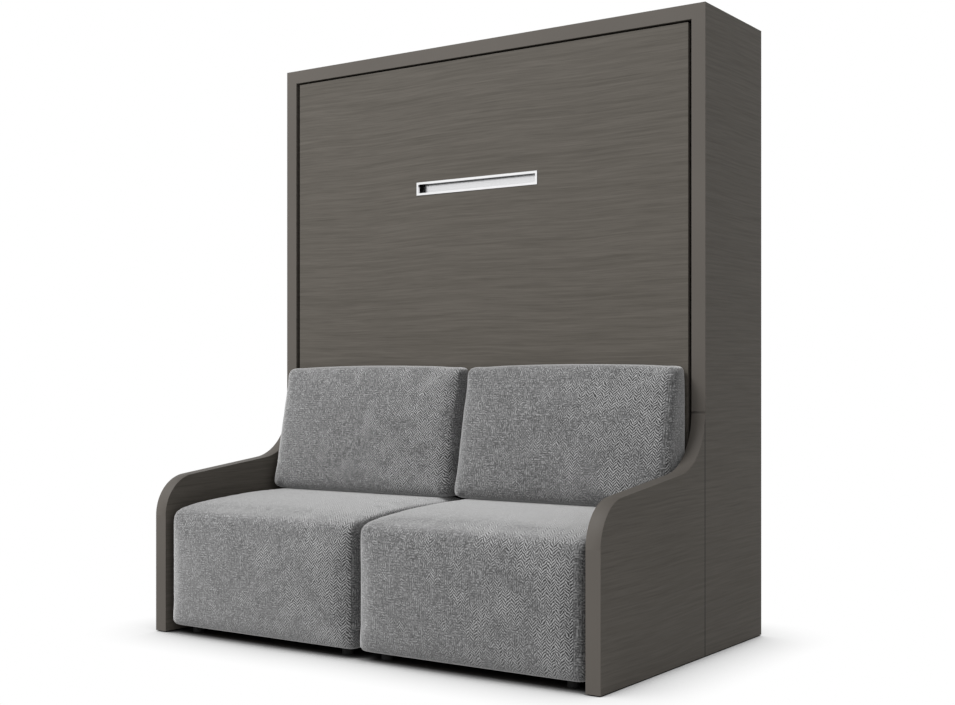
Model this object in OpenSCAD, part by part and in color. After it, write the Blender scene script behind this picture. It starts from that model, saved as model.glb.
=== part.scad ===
// Wall bed with sofa: a bed folds down out of its cabinet and over a two seat sofa.
// Millimetres. X runs along the sofa, Y from the viewer to the wall, Z up from the floor.
// The comments give places from the cabinet's front plane, which lies at front_y.

/* [Mattress and bed frame] */
// Width of the mattress
mattress_w = 1600; // [1400:50:1800]
// Length of the mattress
mattress_l = 1900; // [1800:50:2000]
// Thickness of the mattress
mattress_t = 150; // [120:5:160]
// Gap between the mattress and each side rail
mattress_gap = 10; // [6:1:15]
// Thickness of the frame boards
frame_t = 30; // [22:1:35]
// Depth of the frame boards behind the panels
frame_d = 80; // [70:1:90]
// Free length between the mattress and the end of the frame, foot rail included
foot_space = 51; // [46:1:70]
// Thickness of the front panels
panel_t = 18; // [16:1:22]
// How far the front panel is set back behind the cabinet's front edges
panel_setback = 5; // [2:1:10]
// Gap on each side of the front panel
panel_gap_side = 14; // [10:1:18]
// Gap above the front panel
panel_gap_top = 7; // [4:1:10]
// How far the front panel stands over the foot end of the frame
panel_over = 7; // [5:1:14]
// Height of the frame's underside above the floor
frame_base = 115; // [110:1:130]

/* [Slats] */
// Number of slat pairs
slat_count = 14; // [10:1:18]
// Width of a slat
slat_w = 53; // [40:1:60]
// Thickness of a slat
slat_t = 8; // [6:0.5:10]
// Width of the centre beam
beam_w = 40; // [30:1:60]
// Depth of the centre beam
beam_d = 19; // [16:1:22]
// Wall of the centre beam
beam_wall = 2; // [1.5:0.5:3]

/* [Handle] */
// Length of the handle frame
handle_l = 538; // [300:2:700]
// Height of the handle frame
handle_h = 49; // [40:1:70]
// Visible width of the handle frame's rim
handle_rim = 8; // [5:1:12]
// Depth of the recess behind the rim
handle_depth = 32; // [24:1:32]
// Height of the handle's middle above the floor
handle_z = 1636; // [1200:1:1800]

/* [Cabinet] */
// Depth from the front edges to the wall
cabinet_d = 465; // [460:5:520]
// Thickness of the sides, the top and the arms
board_t = 50; // [38:1:60]
// Space beside the bed frame for the fittings
fitting_space = 35; // [34:1:45]
// Thickness of the back panels
back_t = 8; // [5:1:10]
// Thickness of the cross rails
rail_t = 18; // [15:1:20]
// Height of the cross rails
rail_h = 100; // [80:5:105]
// Height of the glides under the boards
glide_t = 3; // [2:0.5:5]

/* [Sofa] */
// Reach of the arms in front of the cabinet
arm_reach = 700; // [620:10:800]
// Height of the arm's top line at its front
arm_front_h = 551; // [500:1:600]
// Slope of the arm's top line in degrees
arm_slope = 6.4; // [3:0.1:8]
// Radius of the arm's front corner
arm_front_r = 145; // [90:5:170]
// Radius of the sweep from the arm up to the cabinet's front edge
arm_sweep_r = 200; // [150:5:240]
// Height of the seat's crest
seat_h = 488; // [470:1:492]
// Gap between a seat and the arm beside it
seat_gap_side = 10; // [8:1:25]
// Gap between the two seats
seat_gap_mid = 16; // [12:1:40]
// Height of the seat cover's lower edge above the floor
seat_base = 24; // [20:1:40]
// Height of a back cushion
back_cushion_h = 488; // [420:5:520]
// Depth of a back cushion at its foot
back_cushion_foot = 188; // [150:2:192]
// Depth of a back cushion at its top
back_cushion_top = 88; // [70:2:110]
// Gap between a back cushion and the arm beside it
back_gap_side = 9; // [6:1:20]
// Gap between the two back cushions
back_gap_mid = 9; // [6:1:20]

/* [Fold and fittings] */
// Clear height between the seat's crest and the open bed's underside
open_clear = 10; // [8:1:14]
// Distance of the pivot behind the cabinet's front plane
pivot_y = 33; // [31:1:36]
// Radius of the pivot axle
axle_r = 8; // [6:0.5:10]
// Radial running clearance of the pivots
pivot_clear = 0.06; // [0.03:0.01:0.1]
// Radius of a spring pin
spring_pin_r = 4; // [3:0.5:5]
// Radius of the spring wire
wire_r = 2.2; // [1.8:0.1:2.4]
// Mean radius of a spring's coil
coil_r = 8.4; // [7.5:0.1:8.6]
// Turns of a spring
spring_turns = 10; // [6:1:14]

/* [Foot leg] */
// Radius of the leg's tube
leg_r = 10; // [9:0.5:11]
// Wall of the leg's tube
leg_wall = 2; // [1.5:0.5:3]
// Radius of the leg's pivot pins
leg_pin_r = 5; // [4:0.5:6]
// Height of the leg's pivot over the panel's outer face
leg_pivot_rise = 66; // [60:1:70]
// Distance of the leg's pivot from the foot end of the panel
leg_pivot_in = 47; // [44:1:60]
// How far the foot of the open leg stands out beyond its pivot
leg_splay = 192; // [170:1:210]
// Knee of the leg, out beyond its pivot
leg_knee_out = 72; // [68:1:78]
// Knee of the leg, down from its pivot
leg_knee_down = 48; // [44:1:52]
// Height of the folded crossbar over the mattress
leg_stow_rise = 24.5; // [22:0.5:30]
// Bend radius between an arm and the crossbar
leg_bend_r = 40; // [30:1:60]

/* [Hidden] */
$fn = 48;
cut = 1;
seat_fit = 0.3;
screw_fit = 0.05;

// Main widths, from the mattress outwards
rail_in = mattress_w / 2 + mattress_gap;
rail_out = rail_in + frame_t;
inner_half = rail_out + fitting_space;
outer_half = inner_half + board_t;
panel_half = inner_half - panel_gap_side;

// Main heights
mattress_z = frame_base + frame_t + seat_fit;
frame_top = frame_base + frame_t + mattress_l + foot_space;
panel_top = frame_top + panel_over;
inner_top = panel_top + panel_gap_top;
cabinet_h = inner_top + board_t;

// Main depths, from the cabinet's front plane
front_y = (arm_reach - cabinet_d) / 2;
panel_in = panel_setback + panel_t;
frame_in = panel_in + frame_d;
beam_fit = 1;
beam_y = panel_setback + handle_depth + beam_fit;
holder_floor = 3;
holder_fit = 0.2;
slat_y = beam_y + beam_d + holder_floor + holder_fit;
holder_roof = 1.6;
holder_in = slat_y + slat_t + holder_fit + holder_roof;
mattress_y = holder_in + seat_fit;
mattress_in = mattress_y + mattress_t;
back_y = cabinet_d - back_t;

// Pivot of the bed: the open bed's underside clears the seats
pivot_z = seat_h + open_clear + pivot_y - panel_setback;
split_rise = 25;
split_gap = 1;
panel_split = pivot_z + split_rise;

// Pivot of the foot leg, its open shape and its folded turn
leg_pivot_y = panel_setback + leg_pivot_rise;
leg_pivot_z = panel_top - leg_pivot_in;
sleeve_t = 3;
sleeve_l = 60;
sleeve_fit = 0.2;
leg_drop = leg_pivot_y - pivot_y + pivot_z - leg_r - sleeve_t - seat_fit;
leg_len = norm([leg_drop, leg_splay]);
leg_open_angle = atan2(leg_splay, -leg_drop);
leg_stow_angle = -acos((mattress_in + leg_stow_rise - leg_pivot_y) / leg_len);
leg_turn = leg_open_angle - leg_stow_angle;
echo(str("foot leg turns ", leg_turn, " degrees, ", leg_turn / 90, " for each unit of the fold"));

// Fittings beside the bed: plates on the cabinet side, plates and hubs on the bed
plate_t = 6;
wall_plate_in = inner_half - plate_t;
boss_t = 3;
boss_in = wall_plate_in - boss_t;
boss_r = 16;
lever_t = 5;
hub_r = 18;
bush_flange_t = 2;
bush_r = 11;
axle_end_gap = 3;
lever_out = rail_out + lever_t;
pin_gap = 1;
pin_mid = (lever_out + wall_plate_in) / 2;

// Spring pins, on the lever above and on the anchor below
spring_front_y = 105;
spring_pitch = 30;
pin_drop = 196;
spring_top_z = pivot_z - pin_drop;
spring_base_z = 70;
hook_fit = 0.4;
hook_r = spring_pin_r + wire_r + hook_fit;

// Screws
screw_r = 3;
screw_head_r = 6;
screw_head_t = 3;
screw_l = 30;

// Pieces are drawn from the cabinet's front plane and then moved to the row's origin
module placed() {
    translate([0, front_y, 0]) children();
}

// Draws its children for one side: 1 is right, -1 is left
module on_side(side) {
    if (side < 0) mirror([1, 0, 0]) children();
    else children();
}

module both_sides() {
    for (side = [-1, 1]) on_side(side) children();
}

// A board given by its limits along X, Y and Z
module board(x, y, z) {
    translate([x[0], y[0], z[0]]) cube([x[1] - x[0], y[1] - y[0], z[1] - z[0]]);
}

// A rod along X, along Y or along Z
module rod_x(r, x, y, z) {
    translate([x[0], y, z]) rotate([0, 90, 0]) cylinder(r = r, h = x[1] - x[0]);
}

module rod_y(r, x, y, z) {
    translate([x, y[0], z]) rotate([-90, 0, 0]) cylinder(r = r, h = y[1] - y[0]);
}

module rod_z(r, x, y, z) {
    translate([x, y, z[0]]) cylinder(r = r, h = z[1] - z[0]);
}

// A plate along X from an outline in Y and Z
module yz_plate(x) {
    translate([x[0], 0, 0]) rotate([90, 0, 90]) linear_extrude(x[1] - x[0]) children();
}

// A pan head screw along X with its head towards the middle, its seat at x
module side_screw(x, y, z) {
    rod_x(screw_r, [x - cut / 2, x + screw_l], y, z);
    rod_x(screw_head_r, [x - screw_head_t, x], y, z);
}

// Padded form: an outline of rounded corners, swept along X with rounded ends
function arc_points(ca, cb, r, start, n) =
    [for (i = [0:n]) [ca + r * cos(start + 90 * i / n), cb + r * sin(start + 90 * i / n)]];
function between(p, q, n) = [for (i = [1:n]) p + (q - p) * i / (n + 1)];
function outline(ha, hb, r, n, across, up) =
    let (c0 = arc_points(ha - r, hb - r, r, 0, n),
         c1 = arc_points(r - ha, hb - r, r, 90, n),
         c2 = arc_points(r - ha, r - hb, r, 180, n),
         c3 = arc_points(ha - r, r - hb, r, 270, n))
    concat(c0, between(c0[n], c1[0], across), c1, between(c1[n], c2[0], up),
           c2, between(c2[n], c3[0], across), c3, between(c3[n], c0[0], up));
function stations(hx, r, n, m) = concat(
    [for (i = [0:n]) [r - hx - r * cos(90 * i / n), r * (1 - sin(90 * i / n))]],
    [for (i = [1:m]) [(r - hx) + 2 * (hx - r) * i / (m + 1), 0]],
    [for (i = [0:n]) [hx - r + r * sin(90 * i / n), r * (1 - cos(90 * i / n))]]);

// half: half sizes along X, Y and Z; edge_r: corners of the outline; end_r: rounding at the ends
// shape: turns a point of the plain form, as shares of the half sizes, into its place
min_corner_r = 3;
module padded(half, edge_r, end_r, shape, steps, spans) {
    st = stations(half[0], end_r, steps, spans[0]);
    rings = [for (s = st) [for (p = outline(half[1] - s[1], half[2] - s[1],
                                max(edge_r - s[1], min_corner_r), steps, spans[1], spans[2]))
                shape([s[0] / half[0], p[0] / half[1], p[1] / half[2]])]];
    n = len(rings[0]);
    m = len(rings);
    ends = [for (k = [0, m - 1]) [for (p = rings[k]) 1] * rings[k] / n];
    points = concat([for (ring = rings) each ring], ends);
    walls = [for (i = [0:m - 2], j = [0:n - 1])
        let (a = i * n + j, b = i * n + (j + 1) % n)
        each [[a, a + n, b + n], [a, b + n, b]]];
    caps = [for (j = [0:n - 1]) each [[m * n, j, (j + 1) % n],
        [m * n + 1, (m - 1) * n + (j + 1) % n, (m - 1) * n + j]]];
    polyhedron(points, concat(walls, caps));
}

// Cabinet

// Holes for the dowels, the pivot plate, the spring anchor and the arm plates
dowel_r = 4;
dowel_l = 32;
dowel_first = 50;
dowel_count = 4;
function dowel_y(i) = dowel_first + i * (back_y - 2 * dowel_first) / (dowel_count - 1);
plate_fore = 23;
plate_aft = 79;
plate_half_h = 84;
plate_y = [pivot_y - plate_fore, pivot_y + plate_aft];
plate_z = [pivot_z - plate_half_h, pivot_z + plate_half_h];
plate_edge = 13;
anchor_margin = 22;
anchor_top = 34;
anchor_y = [spring_front_y - anchor_margin, spring_front_y + spring_pitch + anchor_margin];
anchor_z = [spring_base_z - anchor_margin, spring_base_z + anchor_top];
arm_plate_t = 3;
arm_plate_half = 60;
arm_plate_h = 60;
arm_plate_rise = 116;
arm_plate_drop = 12;
arm_plate_z = [anchor_z[1] + arm_plate_rise, plate_z[0] - arm_plate_drop - arm_plate_h];
arm_plate_edge = 16;

module wall_screw_places() {
    for (y = [plate_y[0] + plate_edge, plate_y[1] - plate_edge],
         z = [plate_z[0] + plate_edge, plate_z[1] - plate_edge])
        translate([0, y, z]) children();
}

module anchor_screw_places() {
    for (y = [anchor_y[0] + plate_edge, anchor_y[1] - plate_edge])
        translate([0, y, anchor_z[1] - plate_edge]) children();
}

module arm_screw_places(sign) {
    for (z = arm_plate_z, k = [arm_plate_edge, arm_plate_half - arm_plate_edge])
        translate([0, sign * k, z + arm_plate_h / 2]) children();
}

module side_pilots(x) {
    rod_x(screw_r + screw_fit, [x - cut, x + screw_l + cut], 0, 0);
}

module side_board() {
    color([0.34, 0.32, 0.3]) difference() {
        board([inner_half, outer_half], [0, cabinet_d], [glide_t, cabinet_h]);
        for (i = [0:dowel_count - 1])
            rod_x(dowel_r + screw_fit, [inner_half - cut, inner_half + dowel_l / 2 + cut],
                  dowel_y(i), cabinet_h - board_t / 2);
        wall_screw_places() side_pilots(inner_half);
        anchor_screw_places() side_pilots(inner_half);
        arm_screw_places(1) side_pilots(inner_half);
    }
}
module side_left() { placed() on_side(-1) side_board(); }
module side_right() { placed() on_side(1) side_board(); }

module top_board() {
    placed() color([0.37, 0.35, 0.33]) difference() {
        board([-inner_half, inner_half], [0, cabinet_d], [inner_top, cabinet_h]);
        both_sides() for (i = [0:dowel_count - 1])
            rod_x(dowel_r + screw_fit, [inner_half - dowel_l / 2 - cut, inner_half + cut],
                  dowel_y(i), cabinet_h - board_t / 2);
    }
}

module top_dowels() {
    placed() color("burlywood") both_sides() for (i = [0:dowel_count - 1])
        rod_x(dowel_r, [inner_half - dowel_l / 2, inner_half + dowel_l / 2],
              dowel_y(i), cabinet_h - board_t / 2);
}

// The back panels meet under a flat strip, between the upper and the lower rail
strip_w = 40;
strip_t = 1.5;
base_rail_z = [glide_t, glide_t + rail_h];
back_top = inner_top - rail_h;

module back_half() {
    color([0.8, 0.79, 0.77]) board([0, inner_half], [back_y, cabinet_d], [base_rail_z[1], back_top]);
}
module back_panel_left() { placed() on_side(-1) back_half(); }
module back_panel_right() { placed() on_side(1) back_half(); }

module back_strip() {
    placed() color([0.75, 0.74, 0.72])
        board([-strip_w / 2, strip_w / 2], [back_y - strip_t, back_y], [base_rail_z[1], back_top]);
}

// Wall fixing: four holes through the upper rear rail
wall_hole_r = 4.5;
wall_spacing_x = 1500;
wall_spacing_z = 60;

module rear_rail_top() {
    placed() color([0.37, 0.35, 0.33]) difference() {
        board([-inner_half, inner_half], [cabinet_d - rail_t, cabinet_d], [back_top, inner_top]);
        for (x = [-wall_spacing_x / 2, wall_spacing_x / 2], z = [-wall_spacing_z / 2, wall_spacing_z / 2])
            rod_y(wall_hole_r, x, [cabinet_d - rail_t - cut, cabinet_d + cut], back_top + rail_h / 2 + z);
    }
}

module rear_rail_base() {
    placed() color([0.37, 0.35, 0.33])
        board([-inner_half, inner_half], [cabinet_d - rail_t, cabinet_d], base_rail_z);
}

rail_gap_y = 2;
module front_base_rail() {
    placed() color([0.37, 0.35, 0.33])
        board([-inner_half, inner_half], [rail_gap_y, rail_gap_y + rail_t], base_rail_z);
}

// Glides: two under each side, two under each arm, two under each cross rail
glide_r = 8;
glide_margin = 60;
module glides() {
    placed() color([0.1, 0.1, 0.1]) both_sides() {
        for (y = [glide_margin - arm_reach, -glide_margin, glide_margin, cabinet_d - glide_margin])
            rod_z(glide_r, inner_half + board_t / 2, y, [0, glide_t]);
        for (y = [rail_gap_y + rail_t / 2, -rail_gap_y - rail_t / 2, cabinet_d - rail_t / 2])
            rod_z(glide_r, inner_half / 2, y, [0, glide_t]);
    }
}

// Pivot plate with its axle, on the cabinet's side
plate_corner_r = 10;
module rounded_rect(y, z, r) {
    for (k = [0, 1]) translate([y[0] + r * k, z[0] + r * (1 - k)])
        square([y[1] - y[0] - 2 * r * k, z[1] - z[0] - 2 * r * (1 - k)]);
    for (a = [y[0] + r, y[1] - r], b = [z[0] + r, z[1] - r]) translate([a, b]) circle(r = r);
}

module pivot_plate() {
    color([0.75, 0.76, 0.78]) difference() {
        union() {
            yz_plate([wall_plate_in, inner_half]) rounded_rect(plate_y, plate_z, plate_corner_r);
            rod_x(boss_r, [boss_in, wall_plate_in], pivot_y, pivot_z);
            rod_x(axle_r, [rail_out + axle_end_gap, boss_in], pivot_y, pivot_z);
        }
        wall_screw_places() side_pilots(wall_plate_in);
    }
}
module pivot_plate_left() { placed() on_side(-1) pivot_plate(); }
module pivot_plate_right() { placed() on_side(1) pivot_plate(); }

module pivot_screws() {
    placed() color([0.6, 0.6, 0.62]) both_sides() {
        wall_screw_places() side_screw(wall_plate_in, 0, 0);
        anchor_screw_places() side_screw(wall_plate_in, 0, 0);
    }
}

// Spring anchor: a plate with two pins, low on the cabinet's side
module spring_pins(x, z) {
    for (i = [0, 1]) rod_x(spring_pin_r, x, spring_front_y + i * spring_pitch, z);
}

module spring_anchor() {
    color([0.75, 0.76, 0.78]) difference() {
        union() {
            yz_plate([wall_plate_in, inner_half]) rounded_rect(anchor_y, anchor_z, plate_corner_r);
            spring_pins([lever_out + pin_gap, wall_plate_in], spring_base_z);
        }
        anchor_screw_places() side_pilots(wall_plate_in);
    }
}
module spring_anchor_left() { placed() on_side(-1) spring_anchor(); }
module spring_anchor_right() { placed() on_side(1) spring_anchor(); }

// Tension spring: a lower hook, the coil and an upper hook on one unbroken path
hook_steps = 7;
hook_open = 30;
riser = 12;
curl_steps = 8;
wire_sides = 6;
function coil_path(y, z0, z1) =
    let (n = spring_turns * curl_steps)
    [for (i = [0:n]) let (a = 180 + 360 * i / curl_steps)
        [pin_mid + coil_r * sin(a), y + coil_r * cos(a), z0 + (z1 - z0) * i / n]];
function spring_path(y) = concat(
    [for (i = [0:hook_steps]) let (a = -hook_open - i * (180 - hook_open) / hook_steps)
        [pin_mid, y + hook_r * cos(a), spring_base_z + hook_r * sin(a)]],
    coil_path(y, spring_base_z + hook_r + riser, spring_top_z - hook_r - riser),
    [for (i = [hook_steps:-1:0]) let (a = hook_open + i * (180 - hook_open) / hook_steps)
        [pin_mid, y + hook_r * cos(a), spring_top_z + hook_r * sin(a)]]);
function unit(v) = v / norm(v);
function tangents(p) =
    [for (i = [0:len(p) - 1]) unit(p[min(i + 1, len(p) - 1)] - p[max(i - 1, 0)])];
function carried(n, t) = unit(n - (n * t) * t);
function normals(t) =
    [for (i = 0, n = carried([1, 0, 0], t[0]); i < len(t);
          i = i + 1, n = i < len(t) ? carried(n, t[i]) : n) n];

module wire(path, r, sides) {
    t = tangents(path);
    nrm = normals(t);
    m = len(path);
    rings = [for (i = [0:m - 1], k = [0:sides - 1])
        path[i] + r * (cos(360 * k / sides) * nrm[i] + sin(360 * k / sides) * cross(t[i], nrm[i]))];
    walls = [for (i = [0:m - 2], k = [0:sides - 1])
        let (a = i * sides + k, b = i * sides + (k + 1) % sides)
        each [[a, a + sides, b + sides], [a, b + sides, b]]];
    first = [for (k = [1:sides - 2]) [0, k, k + 1]];
    last = [for (k = [1:sides - 2]) [(m - 1) * sides, (m - 1) * sides + k + 1, (m - 1) * sides + k]];
    polyhedron(rings, concat(walls, first, last));
}

spring_points = spring_path(spring_front_y);
spring_gap = min([for (i = [0:len(spring_points) - 1], j = [i + curl_steps / 2:1:len(spring_points) - 1])
    norm(spring_points[i] - spring_points[j])]) - 2 * wire_r;
echo(str("least gap of a spring to itself ", spring_gap));

module springs() {
    color([0.5, 0.5, 0.52]) for (i = [0, 1])
        wire(spring_path(spring_front_y + i * spring_pitch), wire_r, wire_sides);
}
module springs_left() { placed() on_side(-1) springs(); }
module springs_right() { placed() on_side(1) springs(); }

// Stop pads on the sofa rail carry the folded bed's lower end
stop_r = 20;
stop_z = 150;
stop_x = 560;
module stop_pads() {
    placed() color([0.12, 0.12, 0.12]) both_sides()
        rod_y(stop_r, stop_x, [-rail_gap_y, panel_setback - seat_fit], stop_z);
}

// Sofa

// Arm outline: straight front, round front corner, rising line and a sweep up to the cabinet
function arm_line(y) = arm_front_h + (y + arm_reach) * tan(arm_slope);
arc_steps = 12;
arm_corner = [arm_front_r - arm_reach, arm_line(arm_front_r - arm_reach) - arm_front_r / cos(arm_slope)];
arm_sweep = [-arm_sweep_r, arm_line(-arm_sweep_r) + arm_sweep_r / cos(arm_slope)];

module arm_outline() {
    difference() {
        polygon(concat(
            [[0, glide_t], [0, arm_sweep[1]]],
            [arm_sweep + arm_sweep_r * [sin(arm_slope), -cos(arm_slope)]],
            [arm_corner + arm_front_r * [-sin(arm_slope), cos(arm_slope)]],
            [[arm_corner[0], arm_corner[1]], [-arm_reach, arm_corner[1]], [-arm_reach, glide_t]]));
        translate(arm_sweep) circle(r = arm_sweep_r);
    }
    intersection() {
        translate(arm_corner) circle(r = arm_front_r);
        translate(arm_corner - [arm_front_r, 0]) square(arm_front_r * (1 + sin(arm_slope)));
    }
}

module arm() {
    color([0.35, 0.33, 0.31]) difference() {
        yz_plate([inner_half, outer_half]) arm_outline();
        arm_screw_places(-1) side_pilots(inner_half);
    }
}
module arm_left() { placed() on_side(-1) arm(); }
module arm_right() { placed() on_side(1) arm(); }

// Flat plates join the arms to the cabinet sides on the inside
arm_plate_r = 8;
module arm_plates() {
    placed() color([0.7, 0.71, 0.73]) both_sides() difference() {
        for (z = arm_plate_z)
            yz_plate([inner_half - arm_plate_t, inner_half])
                rounded_rect([-arm_plate_half, arm_plate_half], [z, z + arm_plate_h], arm_plate_r);
        for (s = [-1, 1]) arm_screw_places(s) side_pilots(inner_half - arm_plate_t);
    }
}

module arm_screws() {
    placed() color([0.6, 0.6, 0.62]) both_sides()
        for (s = [-1, 1]) arm_screw_places(s) side_screw(inner_half - arm_plate_t, 0, 0);
}

sofa_rail_h = 200;
module sofa_rail() {
    placed() color([0.37, 0.35, 0.33])
        board([-inner_half, inner_half], [-rail_gap_y - rail_t, -rail_gap_y], [glide_t, sofa_rail_h]);
}

// Seat module: feet, battens and a platform under an upholstered block
seat_setback = 4;
seat_rear = rail_gap_y + rail_t + 2;
seat_x = [seat_gap_mid / 2, inner_half - seat_gap_side];
seat_y = [seat_setback - arm_reach, -seat_rear];
platform_t = 18;
batten_t = 18;
batten_w = 60;
batten_count = 3;
platform_in = 46;
platform_z = seat_base + batten_t;
platform_x = [seat_x[0] + platform_in, seat_x[1] - platform_in];
platform_y = [seat_y[0] + platform_in, seat_y[1] - platform_in];
foot_r = 20;

module seat_platform() {
    color("burlywood") board(platform_x, platform_y, [platform_z, platform_z + platform_t]);
}
module seat_platform_left() { placed() on_side(-1) seat_platform(); }
module seat_platform_right() { placed() on_side(1) seat_platform(); }

function batten_y(i) = platform_y[0] + i * (platform_y[1] - platform_y[0] - batten_w) / (batten_count - 1);
module seat_battens() {
    placed() color([0.8, 0.68, 0.5]) both_sides() for (i = [0:batten_count - 1])
        board(platform_x, [batten_y(i), batten_y(i) + batten_w], [seat_base, platform_z]);
}

module seat_feet() {
    placed() color([0.08, 0.08, 0.08]) both_sides()
        for (x = [platform_x[0] + batten_w / 2, platform_x[1] - batten_w / 2], i = [0, batten_count - 1])
            rod_z(foot_r, x, batten_y(i) + batten_w / 2, [0, seat_base]);
}

// Seat block: crowned towards the front, level under the back cushion
seat_half = [(seat_x[1] - seat_x[0]) / 2, (seat_y[1] - seat_y[0]) / 2, (seat_h - seat_base) / 2];
seat_mid = [(seat_x[0] + seat_x[1]) / 2, (seat_y[0] + seat_y[1]) / 2, (seat_h + seat_base) / 2];
seat_front_drop = 36;
seat_side_drop = 2;
seat_bulge = 4;
seat_level_share = 0.25;
seat_edge_r = 32;
seat_end_r = 20;
// The front edge rolls over, from this share of the seat's depth on
seat_roll = 8;
seat_roll_share = 0.68;
function seat_fall(v) = max(seat_level_share - v, 0) / (1 + seat_level_share);
function seat_over(v) = max(-v - seat_roll_share, 0) / (1 - seat_roll_share);
function seat_shape(p) =
    let (lift = (p[2] + 1) / 2,
         fall = seat_fall(p[1]),
         drop = seat_front_drop * pow(fall, 2) + seat_side_drop * fall * pow(p[0], 2)
              + seat_roll * pow(seat_over(p[1]), 2),
         bulge = p[1] < 0 ? seat_bulge * (1 - pow(p[2], 2)) * (1 - pow(p[0], 2)) : 0)
    seat_mid + [p[0] * seat_half[0], p[1] * seat_half[1] - bulge, p[2] * seat_half[2] - lift * drop];

module seat_cushion() {
    color([0.5, 0.5, 0.51]) difference() {
        padded(seat_half, seat_edge_r, seat_end_r, function (p) seat_shape(p), 3, [5, 10, 3]);
        board([platform_x[0] - seat_fit, platform_x[1] + seat_fit],
              [platform_y[0] - seat_fit, platform_y[1] + seat_fit],
              [seat_base - cut, platform_z + platform_t + seat_fit]);
    }
}
module seat_cushion_left() { placed() on_side(-1) seat_cushion(); }
module seat_cushion_right() { placed() on_side(1) seat_cushion(); }

// Back cushion: a wedge that stands on the seat and leans on the front panel
back_x = [back_gap_mid / 2, inner_half - back_gap_side];
back_z = seat_h + seat_fit;
back_rear = panel_setback - seat_fit;
back_half_size = [(back_x[1] - back_x[0]) / 2, back_cushion_foot / 2, back_cushion_h / 2];
back_crown = 10;
back_top_crown = 9;
back_edge_r = 30;
back_end_r = 30;
function back_shape(p) =
    let (up = (p[2] + 1) / 2,
         out = (1 - p[1]) / 2,
         crown = back_crown * (1 - pow(p[0], 2)) * (1 - pow(p[2], 2)),
         depth = back_cushion_foot + (back_cushion_top - back_cushion_foot) * up - back_crown + crown,
         fall = back_top_crown * pow(p[0], 2) * up)
    [back_x[0] + back_half_size[0] * (1 + p[0]), back_rear - out * depth,
     back_z + up * back_cushion_h - fall];

module back_cushion() {
    color([0.5, 0.5, 0.51])
        padded(back_half_size, back_edge_r, back_end_r, function (p) back_shape(p), 3, [5, 3, 5]);
}
module back_cushion_left() { placed() on_side(-1) back_cushion(); }
module back_cushion_right() { placed() on_side(1) back_cushion(); }

// Bed

handle_fit = 0.5;
tub_inset = 4;
tub_half = [handle_l / 2 - tub_inset, handle_h / 2 - tub_inset];
module front_panel() {
    placed() color([0.37, 0.35, 0.33]) difference() {
        board([-panel_half, panel_half], [panel_setback, panel_in], [panel_split, panel_top]);
        board([-tub_half[0] - handle_fit, tub_half[0] + handle_fit], [panel_setback - cut, panel_in + cut],
              [handle_z - tub_half[1] - handle_fit, handle_z + tub_half[1] + handle_fit]);
    }
}

module lower_panel() {
    placed() color([0.37, 0.35, 0.33])
        board([-rail_out, rail_out], [panel_setback, panel_in], [frame_base, panel_split - split_gap]);
}

// Recessed handle: polished rim, black tub and a brushed plate on the tub's floor
rim_t = 2;
tub_wall = 2;
collar_l = 6;
module handle_ring(half, hole, y) {
    difference() {
        board([-half[0], half[0]], y, [handle_z - half[1], handle_z + half[1]]);
        board([-hole[0], hole[0]], [y[0] - cut, y[1] + cut], [handle_z - hole[1], handle_z + hole[1]]);
    }
}
rim_hole = [handle_l / 2 - handle_rim, handle_h / 2 - handle_rim];
module handle_frame() {
    placed() color([0.9, 0.9, 0.9]) {
        handle_ring([handle_l / 2, handle_h / 2], rim_hole, [panel_setback - rim_t, panel_setback]);
        handle_ring(tub_half, rim_hole, [panel_setback, panel_setback + collar_l]);
    }
}

plate_floor_t = 1.5;
module handle_tub() {
    placed() color([0.03, 0.03, 0.03]) difference() {
        board([-tub_half[0], tub_half[0]], [panel_setback + collar_l, panel_setback + handle_depth],
              [handle_z - tub_half[1], handle_z + tub_half[1]]);
        board([tub_wall - tub_half[0], tub_half[0] - tub_wall],
              [panel_setback, panel_setback + handle_depth - tub_wall],
              [handle_z - tub_half[1] + tub_wall, handle_z + tub_half[1] - tub_wall]);
    }
}

module handle_plate() {
    floor_y = panel_setback + handle_depth - tub_wall;
    placed() color([0.8, 0.8, 0.82])
        board([tub_wall - tub_half[0], tub_half[0] - tub_wall], [floor_y - plate_floor_t, floor_y],
              [handle_z - tub_half[1] + tub_wall, handle_z + tub_half[1] - tub_wall]);
}

lever_screw_low = 60;
lever_screw_high = 150;
lever_margin = 5;
lever_screw_z = [pivot_z + lever_screw_low, pivot_z + lever_screw_high];
lever_y = [panel_in + lever_margin, frame_in - lever_margin];
module lever_screw_places() {
    for (z = lever_screw_z, y = [lever_y[0] + plate_edge, lever_y[1] - plate_edge])
        translate([0, y, z]) children();
}

bracket_half = 22;
bracket_edge = 10;
leg_screw_back = 34;
module leg_screw_places() {
    for (z = [-plate_edge, plate_edge])
        translate([0, leg_pivot_y - leg_screw_back, leg_pivot_z + z]) children();
}

frame_screw_l = 24;
module frame_pilot() {
    rod_x(screw_r + screw_fit, [rail_out - frame_screw_l - cut, rail_out + cut], 0, 0);
}

module side_rail() {
    color([0.42, 0.4, 0.38]) difference() {
        board([rail_in, rail_out], [panel_in, frame_in], [frame_base, frame_top]);
        lever_screw_places() frame_pilot();
        leg_screw_places() frame_pilot();
    }
}
module side_rail_left() { placed() on_side(-1) side_rail(); }
module side_rail_right() { placed() on_side(1) side_rail(); }

module head_rail() {
    placed() color([0.42, 0.4, 0.38])
        board([-rail_in, rail_in], [panel_in, frame_in], [frame_base, frame_base + frame_t]);
}

module foot_rail() {
    placed() color([0.42, 0.4, 0.38])
        board([-rail_in, rail_in], [panel_in, frame_in], [frame_top - frame_t, frame_top]);
}

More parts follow.
